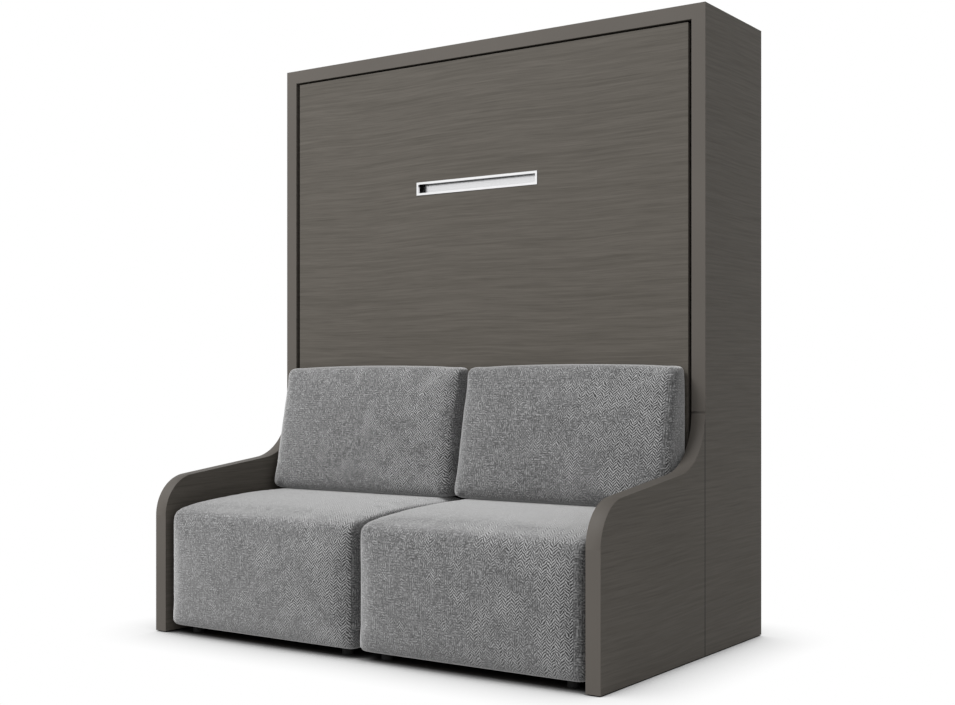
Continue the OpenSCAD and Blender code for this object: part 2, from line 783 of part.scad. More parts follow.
module centre_beam() {
    placed() color([0.3, 0.3, 0.32]) difference() {
        board([-beam_w / 2, beam_w / 2], [beam_y, beam_y + beam_d],
              [frame_base + frame_t, frame_top - frame_t]);
        board([beam_wall - beam_w / 2, beam_w / 2 - beam_wall],
              [beam_y + beam_wall, beam_y + beam_d - beam_wall], [frame_base, frame_top]);
    }
}

// Slats run from the centre beam to the side rails in plastic holders
slat_margin = 60;
slat_first = frame_base + frame_t + slat_margin;
slat_last = frame_top - frame_t - slat_margin;
holder_l = 30;
holder_wall = 3;
slat_tip = 22;
function slat_z(i) = slat_first + i * (slat_last - slat_first) / (slat_count - 1);

module slat_row() {
    color([0.82, 0.68, 0.48]) for (i = [0:slat_count - 1])
        board([slat_tip - holder_l / 2, rail_in - holder_wall], [slat_y, slat_y + slat_t],
              [slat_z(i) - slat_w / 2, slat_z(i) + slat_w / 2]);
}
module slats_left() { placed() on_side(-1) slat_row(); }
module slats_right() { placed() on_side(1) slat_row(); }

module holder(x, z) {
    difference() {
        board(x, [slat_y - holder_fit - holder_floor, holder_in],
              [z - slat_w / 2 - holder_fit - holder_wall, z + slat_w / 2 + holder_fit + holder_wall]);
        both_sides() board([slat_tip - holder_l / 2 - holder_fit, rail_in - holder_wall + holder_fit],
              [slat_y - holder_fit, slat_y + slat_t + holder_fit],
              [z - slat_w / 2 - holder_fit, z + slat_w / 2 + holder_fit]);
    }
}

module slat_holders() {
    placed() color([0.1, 0.1, 0.1]) for (i = [0:slat_count - 1]) {
        holder([-holder_l, holder_l], slat_z(i));
        both_sides() holder([rail_in - holder_l, rail_in], slat_z(i));
    }
}

// Mattress: a padded block with rounded edges
mattress_half = [mattress_w / 2, mattress_t / 2, mattress_l / 2];
mattress_edge_r = 24;
mattress_crown = 4;
function mattress_shape(p) =
    let (face = (1 - pow(p[0], 2)) * (1 - pow(p[2], 2)),
         lift = (p[1] + 1) / 2)
    [p[0] * mattress_half[0], mattress_y + lift * (mattress_t - mattress_crown + mattress_crown * face),
     mattress_z + mattress_half[2] * (1 + p[2])];

module mattress() {
    placed() color([0.93, 0.92, 0.9])
        padded(mattress_half, mattress_edge_r, mattress_edge_r, function (p) mattress_shape(p), 2, [3, 1, 5]);
}

// Two straps hold the mattress on the folded bed
strap_w = 50;
strap_t = 1.2;
strap_fit = 0.4;
strap_end = 30;
strap_z_shares = [0.3, 0.78];
module mattress_straps() {
    strap_y = [frame_in - strap_end, mattress_in + strap_fit];
    strap_x = mattress_w / 2 + strap_fit;
    placed() color([0.15, 0.15, 0.16]) for (share = strap_z_shares) {
        z = mattress_z + share * mattress_l;
        difference() {
            board([-strap_x - strap_t, strap_x + strap_t], [strap_y[0], strap_y[1] + strap_t],
                  [z, z + strap_w]);
            board([-strap_x, strap_x], [strap_y[0] - cut, strap_y[1]], [z - cut, z + strap_w + cut]);
        }
        both_sides() board([strap_x, rail_in], [strap_y[0], strap_y[0] + strap_end / 2], [z, z + strap_w]);
    }
}

// Lever plate: hub on the pivot, screwed to the side rail, with the spring pins behind and below
lever_lip = 14;
lever_rise = 175;
lever_nose_h = 24;
lever_waist_rear = 30;
lever_waist_front = 40;
lever_waist_low = 70;
lever_top = pivot_z + lever_rise;
lever_foot_z = spring_top_z - lever_lip;
lever_nose_y = spring_front_y + spring_pitch + lever_lip;
module lever_outline() {
    difference() {
        polygon([[lever_y[0], lever_top], [lever_y[1], lever_top], [lever_y[1], pivot_z + lever_waist_rear],
                 [lever_nose_y, spring_top_z + lever_nose_h], [lever_nose_y, lever_foot_z],
                 [spring_front_y - lever_lip, lever_foot_z], [lever_y[0], pivot_z - lever_waist_low],
                 [pivot_y - hub_r, pivot_z], [lever_y[0], pivot_z + lever_waist_front]]);
        translate([pivot_y, pivot_z]) circle(r = bush_r + screw_fit);
    }
}

module bed_lever() {
    hub_out = boss_in - bush_flange_t - 2 * seat_fit;
    color([0.7, 0.71, 0.73]) difference() {
        union() {
            yz_plate([rail_out, lever_out]) lever_outline();
            rod_x(hub_r, [rail_out, hub_out], pivot_y, pivot_z);
            spring_pins([rail_out, wall_plate_in - pin_gap], spring_top_z);
        }
        rod_x(bush_r + screw_fit, [rail_out - cut, hub_out + cut], pivot_y, pivot_z);
        lever_screw_places() rod_x(screw_r + screw_fit, [rail_out - cut, lever_out + cut], 0, 0);
    }
}
module bed_lever_left() { placed() on_side(-1) bed_lever(); }
module bed_lever_right() { placed() on_side(1) bed_lever(); }

module pivot_bushes() {
    hub_out = boss_in - bush_flange_t - 2 * seat_fit;
    placed() color([0.75, 0.6, 0.3]) both_sides() difference() {
        union() {
            rod_x(bush_r, [rail_out + seat_fit, hub_out], pivot_y, pivot_z);
            rod_x(boss_r, [hub_out, hub_out + bush_flange_t], pivot_y, pivot_z);
        }
        rod_x(axle_r + pivot_clear, [rail_out - cut, boss_in + cut], pivot_y, pivot_z);
    }
}

// A screw along X with its head outwards, its seat at x
module frame_screw(x) {
    rod_x(screw_r, [rail_out - frame_screw_l, x + cut / 2], 0, 0);
    rod_x(screw_head_r, [x, x + screw_head_t], 0, 0);
}

bracket_t = 4;
bracket_out = rail_out + bracket_t;
module lever_screws() {
    placed() color([0.6, 0.6, 0.62]) both_sides() {
        lever_screw_places() frame_screw(lever_out);
        leg_screw_places() frame_screw(bracket_out);
    }
}

// Foot leg

arm_shift = 1;
arm_mid = (rail_out + inner_half) / 2 - arm_shift;
leg_hub_r = 13;
pin_head_r = 8;
clip_t = 1.6;
clip_in = arm_mid + leg_r + seat_fit;
pin_end = clip_in + clip_t + cut;

module leg_brackets() {
    placed() color([0.7, 0.71, 0.73]) both_sides() difference() {
        union() {
            yz_plate([rail_out, bracket_out])
                rounded_rect([leg_pivot_y - leg_screw_back - bracket_edge, leg_pivot_y + bracket_half],
                             [leg_pivot_z - bracket_half, leg_pivot_z + bracket_half], plate_corner_r);
            rod_x(leg_pin_r, [rail_out, pin_end], leg_pivot_y, leg_pivot_z);
        }
        leg_screw_places() rod_x(screw_r + screw_fit, [rail_out - cut, bracket_out + cut], 0, 0);
    }
}

module leg_clips() {
    placed() color([0.2, 0.2, 0.2]) both_sides() difference() {
        rod_x(pin_head_r, [clip_in, clip_in + clip_t], leg_pivot_y, leg_pivot_z);
        rod_x(leg_pin_r + screw_fit, [arm_mid, inner_half], leg_pivot_y, leg_pivot_z);
    }
}

// The leg is drawn open from its pivot and turned back into its folded place
module leg_placed() {
    translate([0, leg_pivot_y, leg_pivot_z]) rotate([-leg_turn, 0, 0]) children();
}

knee = [arm_mid, -leg_knee_down, leg_knee_out];
foot = [arm_mid, -leg_drop, leg_splay];
shin = norm(foot - knee);
thigh = norm([leg_knee_down, leg_knee_out]);

// Stands its children's +Z along the line from one point to the next in the plane of Y and Z
module along(from, to) {
    translate(from) rotate([atan2(from[1] - to[1], to[2] - from[2]), 0, 0]) children();
}

module leg_tube(r, start) {
    along([arm_mid, 0, 0], knee) translate([0, 0, start]) cylinder(r = r, h = thigh - start);
    translate(knee) sphere(r = r);
    along(knee, foot) {
        cylinder(r = r, h = shin - leg_bend_r);
        translate([-leg_bend_r, 0, shin - leg_bend_r]) rotate([90, 0, 0])
            rotate_extrude(angle = 90) translate([leg_bend_r, 0]) circle(r = r);
    }
}

module leg_arm() {
    color([0.25, 0.25, 0.27]) leg_placed() difference() {
        union() {
            rod_x(leg_hub_r, [arm_mid - leg_r, arm_mid + leg_r], 0, 0);
            leg_tube(leg_r, 0);
        }
        leg_tube(leg_r - leg_wall, leg_hub_r);
        rod_x(leg_pin_r + pivot_clear, [arm_mid - leg_r - cut, arm_mid + leg_r + cut], 0, 0);
    }
}
module leg_arm_left() { placed() on_side(-1) leg_arm(); }
module leg_arm_right() { placed() on_side(1) leg_arm(); }

bar_half = arm_mid - leg_bend_r;
module leg_crossbar() {
    placed() color([0.25, 0.25, 0.27]) leg_placed() difference() {
        rod_x(leg_r, [-bar_half, bar_half], foot[1], foot[2]);
        rod_x(leg_r - leg_wall, [-bar_half - cut, bar_half + cut], foot[1], foot[2]);
    }
}

sleeve_in = 136.5;
sleeve_x = bar_half - sleeve_in;
module leg_sleeves() {
    placed() color([0.08, 0.08, 0.08]) leg_placed() both_sides() difference() {
        rod_x(leg_r + sleeve_t, [sleeve_x, sleeve_x + sleeve_l], foot[1], foot[2]);
        rod_x(leg_r + sleeve_fit, [sleeve_x - cut, sleeve_x + sleeve_l + cut], foot[1], foot[2]);
    }
}

side_left();
side_right();
top_board();
back_panel_left();
back_panel_right();
back_strip();
rear_rail_top();
rear_rail_base();
front_base_rail();
glides();
top_dowels();
pivot_plate_left();
pivot_plate_right();
pivot_screws();
spring_anchor_left();
spring_anchor_right();
springs_left();
springs_right();
stop_pads();
arm_left();
arm_right();
arm_plates();
arm_screws();
sofa_rail();
seat_platform_left();
seat_platform_right();
seat_battens();
seat_feet();
seat_cushion_left();
seat_cushion_right();
back_cushion_left();
back_cushion_right();
front_panel();
lower_panel();
handle_frame();
handle_tub();
handle_plate();
side_rail_left();
side_rail_right();
head_rail();
foot_rail();
centre_beam();
slats_left();
slats_right();
slat_holders();
mattress();
mattress_straps();
bed_lever_left();
bed_lever_right();
pivot_bushes();
lever_screws();
leg_brackets();
leg_clips();
leg_arm_left();
leg_arm_right();
leg_crossbar();
leg_sleeves();
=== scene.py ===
import math

import bpy
import numpy as np
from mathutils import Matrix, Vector


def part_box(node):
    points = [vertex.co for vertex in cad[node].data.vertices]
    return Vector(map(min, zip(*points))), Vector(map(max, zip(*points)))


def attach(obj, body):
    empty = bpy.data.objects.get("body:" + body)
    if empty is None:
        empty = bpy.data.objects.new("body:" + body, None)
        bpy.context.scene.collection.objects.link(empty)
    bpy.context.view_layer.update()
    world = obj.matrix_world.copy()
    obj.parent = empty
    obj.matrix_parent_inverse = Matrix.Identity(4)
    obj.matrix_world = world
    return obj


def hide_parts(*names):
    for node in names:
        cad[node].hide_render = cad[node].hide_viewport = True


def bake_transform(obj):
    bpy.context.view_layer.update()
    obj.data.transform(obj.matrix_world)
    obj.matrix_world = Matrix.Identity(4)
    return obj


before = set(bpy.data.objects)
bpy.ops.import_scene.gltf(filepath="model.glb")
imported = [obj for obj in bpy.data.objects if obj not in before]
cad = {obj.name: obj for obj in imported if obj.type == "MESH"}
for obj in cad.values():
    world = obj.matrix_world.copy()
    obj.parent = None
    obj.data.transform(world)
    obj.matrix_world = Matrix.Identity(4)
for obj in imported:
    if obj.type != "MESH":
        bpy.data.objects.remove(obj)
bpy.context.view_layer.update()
print("frame loaded:", len(cad), "nodes")


# small helpers

mergeWithin = 0.00005  # points closer than this are one point


def deselectAll():
    if bpy.context.object and bpy.context.object.mode != "OBJECT":
        bpy.ops.object.mode_set(mode="OBJECT")
    bpy.ops.object.select_all(action="DESELECT")


def makeActive(piece):
    deselectAll()
    piece.select_set(True)
    bpy.context.view_layer.objects.active = piece


def readPoints(piece):
    points = np.empty(len(piece.data.vertices) * 3)
    piece.data.vertices.foreach_get("co", points)
    return points.reshape(-1, 3)


def writePoints(piece, points):
    piece.data.vertices.foreach_set("co", points.ravel())
    piece.data.update()


def applyModifiers(piece):
    makeActive(piece)
    for name in [m.name for m in piece.modifiers]:
        bpy.ops.object.modifier_apply(modifier=name)


def setMaterial(piece, material):
    piece.data.materials.clear()
    piece.data.materials.append(material)


def mergedCopy(node, name):
    makeActive(cad[node])
    bpy.ops.object.duplicate()
    piece = bpy.context.object
    piece.name = name
    piece.parent = None
    for key in list(piece.keys()):
        if key.startswith("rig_"):
            del piece[key]
    bpy.ops.object.mode_set(mode="EDIT")
    bpy.ops.mesh.select_all(action="SELECT")
    bpy.ops.mesh.remove_doubles(threshold=mergeWithin)
    bpy.ops.mesh.normals_make_consistent(inside=False)
    bpy.ops.object.mode_set(mode="OBJECT")
    if piece.data.has_custom_normals:
        bpy.ops.mesh.customdata_custom_splitnormals_clear()
    return piece


# camera: the photograph's viewpoint, level, a little below the top of the sofa's back

cameraPlan = {
    "place": (2.8676, -4.0276, 0.9113),
    "turn": 0.6030,
    "lens": 51.66,
    "rise": 0.0292,
}


def makeCamera(plan):
    deselectAll()
    bpy.ops.object.camera_add(location=plan["place"], rotation=(math.radians(90), 0, plan["turn"]))
    camera = bpy.context.object
    camera.name = "photoCamera"
    camera.data.sensor_width = 36
    camera.data.lens = plan["lens"]
    camera.data.shift_y = plan["rise"]
    bpy.context.scene.camera = camera


makeCamera(cameraPlan)
bpy.context.scene.view_settings.view_transform = "Standard"
print("camera placed")


# node helpers

def addNode(tree, kind, place, settings=None, values=None):
    node = tree.nodes.new(kind)
    node.location = place
    for key, value in (settings or {}).items():
        setattr(node, key, value)
    for key, value in (values or {}).items():
        node.inputs[key].default_value = value
    return node


def newGroup(name, inputs, outputs):
    tree = bpy.data.node_groups.new(name, "ShaderNodeTree")
    for label, kind, value in inputs:
        socket = tree.interface.new_socket(label, in_out="INPUT", socket_type=kind)
        if value is not None:
            socket.default_value = value
    for label, kind in outputs:
        tree.interface.new_socket(label, in_out="OUTPUT", socket_type=kind)
    start = addNode(tree, "NodeGroupInput", (-900, 0))
    end = addNode(tree, "NodeGroupOutput", (900, 0))
    return tree, start, end


def addGroup(tree, group, place, values=None):
    return addNode(tree, "ShaderNodeGroup", place, {"node_tree": group}, values)


def addMath(tree, operation, place, first, second=None, third=None):
    node = addNode(tree, "ShaderNodeMath", place, {"operation": operation})
    for index, value in enumerate((first, second, third)):
        if value is None:
            continue
        if isinstance(value, (int, float)):
            node.inputs[index].default_value = value
        else:
            tree.links.new(value, node.inputs[index])
    return node.outputs[0]


def addRamp(tree, place, source, stops):
    node = addNode(tree, "ShaderNodeValToRGB", place)
    while len(node.color_ramp.elements) < len(stops):
        node.color_ramp.elements.new(0.5)
    for element, (where, color) in zip(node.color_ramp.elements, stops):
        element.position = where
        element.color = (*color, 1)
    tree.links.new(source, node.inputs["Fac"])
    return node.outputs["Color"]


def addMix(tree, place, factor, first, second, blend="MIX"):
    node = addNode(tree, "ShaderNodeMix", place, {"data_type": "RGBA", "blend_type": blend})
    for socket, value in ((node.inputs[0], factor), (node.inputs[6], first), (node.inputs[7], second)):
        if isinstance(value, (int, float)):
            socket.default_value = value
        elif isinstance(value, tuple):
            socket.default_value = (*value, 1)
        else:
            tree.links.new(value, socket)
    return node.outputs[2]


def addNoise(tree, place, vector, scale, detail=2.0, roughness=0.5):
    node = addNode(tree, "ShaderNodeTexNoise", place, None,
                   {"Scale": scale, "Detail": detail, "Roughness": roughness})
    tree.links.new(vector, node.inputs["Vector"])
    return node.outputs["Fac"]


def addStretch(tree, place, vector, scale):
    node = addNode(tree, "ShaderNodeMapping", place, None, {"Scale": scale})
    tree.links.new(vector, node.inputs["Vector"])
    return node.outputs["Vector"]


def addSplit(tree, place, vector):
    node = addNode(tree, "ShaderNodeSeparateXYZ", place)
    tree.links.new(vector, node.inputs[0])
    return node.outputs


def addClamp(tree, place, value):
    node = addNode(tree, "ShaderNodeClamp", place)
    tree.links.new(value, node.inputs[0])
    return node.outputs[0]


def addSine(tree, place, turns):
    angle = addMath(tree, "MULTIPLY", (place[0] - 100, place[1]), turns, 2 * math.pi)
    return addMath(tree, "SINE", place, angle)


def shaded(color, amount):
    return tuple(amount * part for part in color)


def addBump(tree, place, height, distance, strength=1.0):
    node = addNode(tree, "ShaderNodeBump", place, None, {"Strength": strength, "Distance": distance})
    tree.links.new(height, node.inputs["Height"])
    return node.outputs["Normal"]


def newMaterial(name):
    material = bpy.data.materials.new(name)
    material.use_nodes = True
    tree = material.node_tree
    shader = tree.nodes["Principled BSDF"]
    shader.location = (700, 0)
    return material, tree, shader


# shared effects

grainPlan = {
    "level": 0.7,  # a face counts as level where its normal rises more than this
    "bend": 0.05,  # how far the streaks wave up and down
    "broad": 0.14,  # share of the broad streaks in the colour
    "stretch": {"wave": (1.4, 1.4, 1.1), "broad": (0.9, 0.9, 26),
                "middle": (3.2, 3.2, 130), "fine": (9, 9, 420)},
}


def makeFoilGrain(plan):
    tree, start, end = newGroup(
        "foilGrain",
        [("Vector", "NodeSocketVector", None), ("Normal", "NodeSocketVector", None),
         ("Streak", "NodeSocketFloat", 1.0)],
        [("Streaks", "NodeSocketFloat"), ("Pores", "NodeSocketFloat"), ("Clouds", "NodeSocketFloat")])
    vector, stretch = start.outputs["Vector"], plan["stretch"]
    parts = addSplit(tree, (-700, 150), vector)
    rising = addMath(tree, "ABSOLUTE", (-600, -150), addSplit(tree, (-700, -150), start.outputs["Normal"])[2])
    level = addMath(tree, "GREATER_THAN", (-520, -150), rising, plan["level"])
    # across is the height on upright faces and the depth on level ones
    swap = addMath(tree, "SUBTRACT", (-480, 60), parts[1], parts[2])
    lift = addMath(tree, "MULTIPLY", (-400, 0), level, swap)
    across = addMath(tree, "ADD", (-320, 0), parts[2], lift)
    along = addMath(tree, "SUBTRACT", (-320, 160), parts[1], lift)
    wave = addNoise(tree, (-320, 320), addStretch(tree, (-500, 320), vector, stretch["wave"]), 1.0, 1.0)
    bent = addMath(tree, "MULTIPLY_ADD", (-150, 100), wave, plan["bend"], across)
    placed = addNode(tree, "ShaderNodeCombineXYZ", (0, 100))
    for index, source in enumerate((parts[0], along, bent)):
        tree.links.new(source, placed.inputs[index])
    scaled = addNode(tree, "ShaderNodeVectorMath", (100, 100), {"operation": "SCALE"})
    tree.links.new(placed.outputs[0], scaled.inputs[0])
    tree.links.new(start.outputs["Streak"], scaled.inputs["Scale"])
    run = scaled.outputs[0]
    broad = addNoise(tree, (420, 300), addStretch(tree, (240, 300), run, stretch["broad"]), 1.0, 2.0)
    middle = addNoise(tree, (420, 100), addStretch(tree, (240, 100), run, stretch["middle"]), 1.0, 3.0, 0.6)
    fine = addNoise(tree, (420, -100), addStretch(tree, (240, -100), run, stretch["fine"]), 1.0, 2.0, 0.6)
    narrow = addMath(tree, "MULTIPLY", (520, 200), middle, 1 - plan["broad"])
    mixed = addMath(tree, "MULTIPLY_ADD", (600, 200), broad, plan["broad"], narrow)
    tree.links.new(mixed, end.inputs["Streaks"])
    tree.links.new(fine, end.inputs["Pores"])
    tree.links.new(addNoise(tree, (420, -300), vector, 1.7, 2.0), end.inputs["Clouds"])
    return tree


weavePlan = {
    "slack": 0.017,  # how far the ridges wander up and down
    "wander": 0.009,  # how far the columns wander sideways
    "bold": 2.3,  # contrast of the ridges
    "plain": 0.45,  # contrast of the plain weave between them
    "fade": 4.6,  # how sharply the ridges come and go
    "drift": (1.5, -2.85),  # gain towards a cushion's right end, and its start
    "calm": 0.40,  # how much the ridges quieten the yarn's dashes
    "thread": 0.8,  # width of a plain thread, in pitches
    "dash": (0.50, 0.27),  # length and width of a dash of yarn, in pitches
}


def makeTwillWeave(plan):
    tree, start, end = newGroup(
        "twillWeave",
        [("Vector", "NodeSocketVector", None), ("Pitch", "NodeSocketFloat", 0.004),
         ("Column", "NodeSocketFloat", 0.028), ("Cushion", "NodeSocketFloat", 0.83)],
        [("Threads", "NodeSocketFloat"), ("Melange", "NodeSocketFloat"), ("Slubs", "NodeSocketFloat"),
         ("Clouds", "NodeSocketFloat")])
    labels = ("Vector", "Pitch", "Column", "Cushion")
    vector, pitch, width, repeat = (start.outputs[label] for label in labels)
    parts = addSplit(tree, (-720, 0), vector)
    slack = addNoise(tree, (-720, 250), vector, 60.0, 3.0, 0.65)
    loose = addMath(tree, "MULTIPLY_ADD", (-560, 250), slack, plan["slack"], parts[1])
    wander = addNoise(tree, (-880, 80), vector, 48.0, 2.0)
    aside = addMath(tree, "MULTIPLY_ADD", (-720, 120), wander, plan["wander"], parts[0])
    # ridges run up each column and break off half a pitch apart at the next, where they run down
    zigzag = addMath(tree, "PINGPONG", (-560, 80), aside, width)
    slope = addMath(tree, "DIVIDE", (-320, 80), addMath(tree, "ADD", (-440, 80), zigzag, loose), pitch)
    column = addMath(tree, "FLOOR", (-440, -60), addMath(tree, "DIVIDE", (-500, -60), aside, width))
    odd = addMath(tree, "FLOORED_MODULO", (-380, -60), column, 2.0)
    ridge = addSine(tree, (-100, 80), addMath(tree, "MULTIPLY_ADD", (-260, 0), odd, 0.5, slope))
    # they are crispest towards the right of each cushion
    fade = addNoise(tree, (-100, 240), vector, 11.0, 4.0, 0.6)
    reach = addMath(tree, "FLOORED_MODULO", (-400, 420), parts[0], repeat)
    across = addMath(tree, "DIVIDE", (-300, 420), reach, repeat)
    drift = addMath(tree, "MULTIPLY_ADD", (-40, 360), across, *plan["drift"])
    ridged = addClamp(tree, (120, 200), addMath(tree, "MULTIPLY_ADD", (40, 200), fade, plan["fade"], drift))
    # elsewhere the threads lie plain, in patches that run one way or the other
    patch = addNoise(tree, (40, -60), vector, 26.0, 3.0)
    turn = addClamp(tree, (240, -60), addMath(tree, "MULTIPLY_ADD", (160, -60), patch, 7.0, -3.0))
    threads = []
    for row, source in ((-260, parts[0]), (-340, loose)):
        gauge = addMath(tree, "MULTIPLY", (-400, row), pitch, plan["thread"])
        threads.append(addSine(tree, (-100, row), addMath(tree, "DIVIDE", (-300, row), source, gauge)))
    plain = addMath(tree, "MULTIPLY", (360, -60), addMix(tree, (320, -60), turn, *threads), plan["plain"])
    bold = addMath(tree, "MULTIPLY", (360, 120), ridge, plan["bold"])
    wave = addMix(tree, (420, 80), ridged, plain, bold)
    tree.links.new(addMath(tree, "MULTIPLY_ADD", (560, 80), wave, 0.5, 0.5), end.inputs["Threads"])
    # the yarn changes in short dashes
    dashes = []
    for row, shares in ((-420, plan["dash"]), (-520, plan["dash"][::-1])):
        cell = addNode(tree, "ShaderNodeCombineXYZ", (40, row))
        for axis, share in enumerate(shares):
            size = addMath(tree, "MULTIPLY", (-320, row), pitch, share)
            count = addMath(tree, "DIVIDE", (-200, row), parts[axis], size)
            tree.links.new(addMath(tree, "FLOOR", (-100, row), count), cell.inputs[axis])
        chance = addNode(tree, "ShaderNodeTexWhiteNoise", (200, row), {"noise_dimensions": "2D"})
        tree.links.new(cell.outputs[0], chance.inputs["Vector"])
        dashes.append(chance.outputs["Value"])
    dashed = addMix(tree, (420, -460), turn, dashes[1], dashes[0])
    calm = addMath(tree, "MULTIPLY", (420, -380), ridged, plan["calm"])
    tree.links.new(addMix(tree, (560, -420), calm, dashed, (0.5, 0.5, 0.5)), end.inputs["Melange"])
    weft = addNoise(tree, (200, -640), addStretch(tree, (0, -640), vector, (40, 260, 1)), 1.0, 2.0)
    warp = addNoise(tree, (200, -780), addStretch(tree, (0, -780), vector, (260, 40, 1)), 1.0, 2.0)
    slubs = addMath(tree, "ADD", (320, -700), weft, warp)
    tree.links.new(addMath(tree, "MULTIPLY", (400, -700), slubs, 0.5), end.inputs["Slubs"])
    tree.links.new(addNoise(tree, (200, 320), vector, 7.0, 3.0), end.inputs["Clouds"])
    return tree


def makeBrushLines():
    tree, start, end = newGroup(
        "brushLines",
        [("Vector", "NodeSocketVector", None), ("Along", "NodeSocketFloat", 6.0),
         ("Across", "NodeSocketFloat", 900.0)],
        [("Lines", "NodeSocketFloat"), ("Smears", "NodeSocketFloat")])
    stretch = addNode(tree, "ShaderNodeCombineXYZ", (-600, -150))
    for index, label in enumerate(("Along", "Across", "Across")):
        tree.links.new(start.outputs[label], stretch.inputs[index])
    scaled = addNode(tree, "ShaderNodeVectorMath", (-420, 0), {"operation": "MULTIPLY"})
    tree.links.new(start.outputs["Vector"], scaled.inputs[0])
    tree.links.new(stretch.outputs[0], scaled.inputs[1])
    tree.links.new(addNoise(tree, (-200, 100), scaled.outputs[0], 1.0, 2.0, 0.6), end.inputs["Lines"])
    tree.links.new(addNoise(tree, (-200, -150), start.outputs["Vector"], 9.0, 3.0), end.inputs["Smears"])
    return tree


foilGrain = makeFoilGrain(grainPlan)
twillWeave = makeTwillWeave(weavePlan)
brushLines = makeBrushLines()


# finishes

boardLook = {
    "dark": (0.0815, 0.0735, 0.0622),
    "light": (0.1125, 0.1015, 0.0880),
    "edge": (0.1080, 0.0975, 0.0865),
    "onEdge": 0.7,  # a face belongs to the edge strip where it turns further than this from the board's face
    "paintedTopShade": 0.34,  # painted shade: how much darker the edge strip is made the more it faces up
    "seam": 0.0046,  # width of the painted shadow line where an arm meets the cabinet
    # painted shadow: how dark that line is, as a share of the dark foil
    "seamShadowTone": 0.06,
    "shine": 0.50,
    "spread": 0.16,  # how much duller the pores are
    "specular": 0.12,
    "relief": 0.00015,
}


def addGrain(tree, place, source, streak):
    grain = addGroup(tree, foilGrain, place, {"Streak": streak})
    tree.links.new(source.outputs["Object"], grain.inputs["Vector"])
    tree.links.new(source.outputs["Normal"], grain.inputs["Normal"])
    return grain


def makeBoard(name, faceAxis, look, seamAt=None):
    material, tree, shader = newMaterial(name)
    place = addNode(tree, "ShaderNodeTexCoord", (-900, 0))
    grain = addGrain(tree, (-600, 100), place, 1.0)
    facing = addNode(tree, "ShaderNodeVectorMath", (-600, -250), {"operation": "DOT_PRODUCT"}, {1: faceAxis})
    tree.links.new(place.outputs["Normal"], facing.inputs[0])
    outward = addMath(tree, "ABSOLUTE", (-420, -250), facing.outputs["Value"])
    onEdge = addMath(tree, "LESS_THAN", (-300, -250), outward, look["onEdge"])
    face = addRamp(tree, (-300, 200), grain.outputs["Streaks"], [(0.30, look["dark"]), (0.66, look["light"])])
    pores = addRamp(tree, (-300, 0), grain.outputs["Pores"], [(0.30, (0.80, 0.80, 0.80)), (0.52, (1, 1, 1))])
    grained = addMix(tree, (0, 200), 0.85, face, pores, "MULTIPLY")
    strip = addRamp(tree, (-300, -450), grain.outputs["Clouds"],
                    [(0.3, shaded(look["edge"], 0.94)), (0.7, shaded(look["edge"], 1.05))])
    # painted shade: the edge strip darkens the more it faces up, standing in for less light on its tops
    rising = addSplit(tree, (-420, -620), place.outputs["Normal"])[2]
    upward = addMath(tree, "MAXIMUM", (-300, -620), rising, 0.0)
    topShadeShare = addMath(tree, "MULTIPLY", (-200, -620), upward, look["paintedTopShade"])
    stripWithTopShade = addMix(tree, (60, -450), topShadeShare, strip, (0.0, 0.0, 0.0))
    colored = addMix(tree, (220, 100), onEdge, grained, stripWithTopShade)
    # painted shadow: a dark line on the arm's faces along its rear edge, where shade falls in the join with
    # the cabinet
    if seamAt is not None:
        depth = addSplit(tree, (220, 350), place.outputs["Object"])[1]
        near = addMath(tree, "GREATER_THAN", (340, 350), depth, seamAt - look["seam"])
        inSeamShadow = addMath(tree, "GREATER_THAN", (440, 350), near, onEdge)
        colored = addMix(tree, (520, 200), inSeamShadow, colored, shaded(look["dark"], look["seamShadowTone"]))
    tree.links.new(colored, shader.inputs["Base Color"])
    gloss = addMath(tree, "MULTIPLY_ADD", (220, -120), grain.outputs["Pores"], look["spread"], look["shine"])
    tree.links.new(gloss, shader.inputs["Roughness"])
    height = addMath(tree, "MULTIPLY_ADD", (220, -300), grain.outputs["Pores"], 0.6, grain.outputs["Streaks"])
    tree.links.new(addBump(tree, (460, -300), height, look["relief"], 0.5), shader.inputs["Normal"])
    shader.inputs["Specular IOR Level"].default_value = look["specular"]
    return material


fabricLook = {
    "deep": (0.012, 0.012, 0.012),
    "middle": (0.096, 0.096, 0.097),
    "bright": (0.340, 0.340, 0.342),
    "pitch": 0.0100,
    "column": 0.0150,
    "threads": 0.38,  # shares of the weave, the yarn's dashes and its thick places in the colour
    "melange": 0.36,
    "slubs": 0.26,
    "rough": 0.93,
    "sheen": 0.50,
    "relief": 0.0011,
}


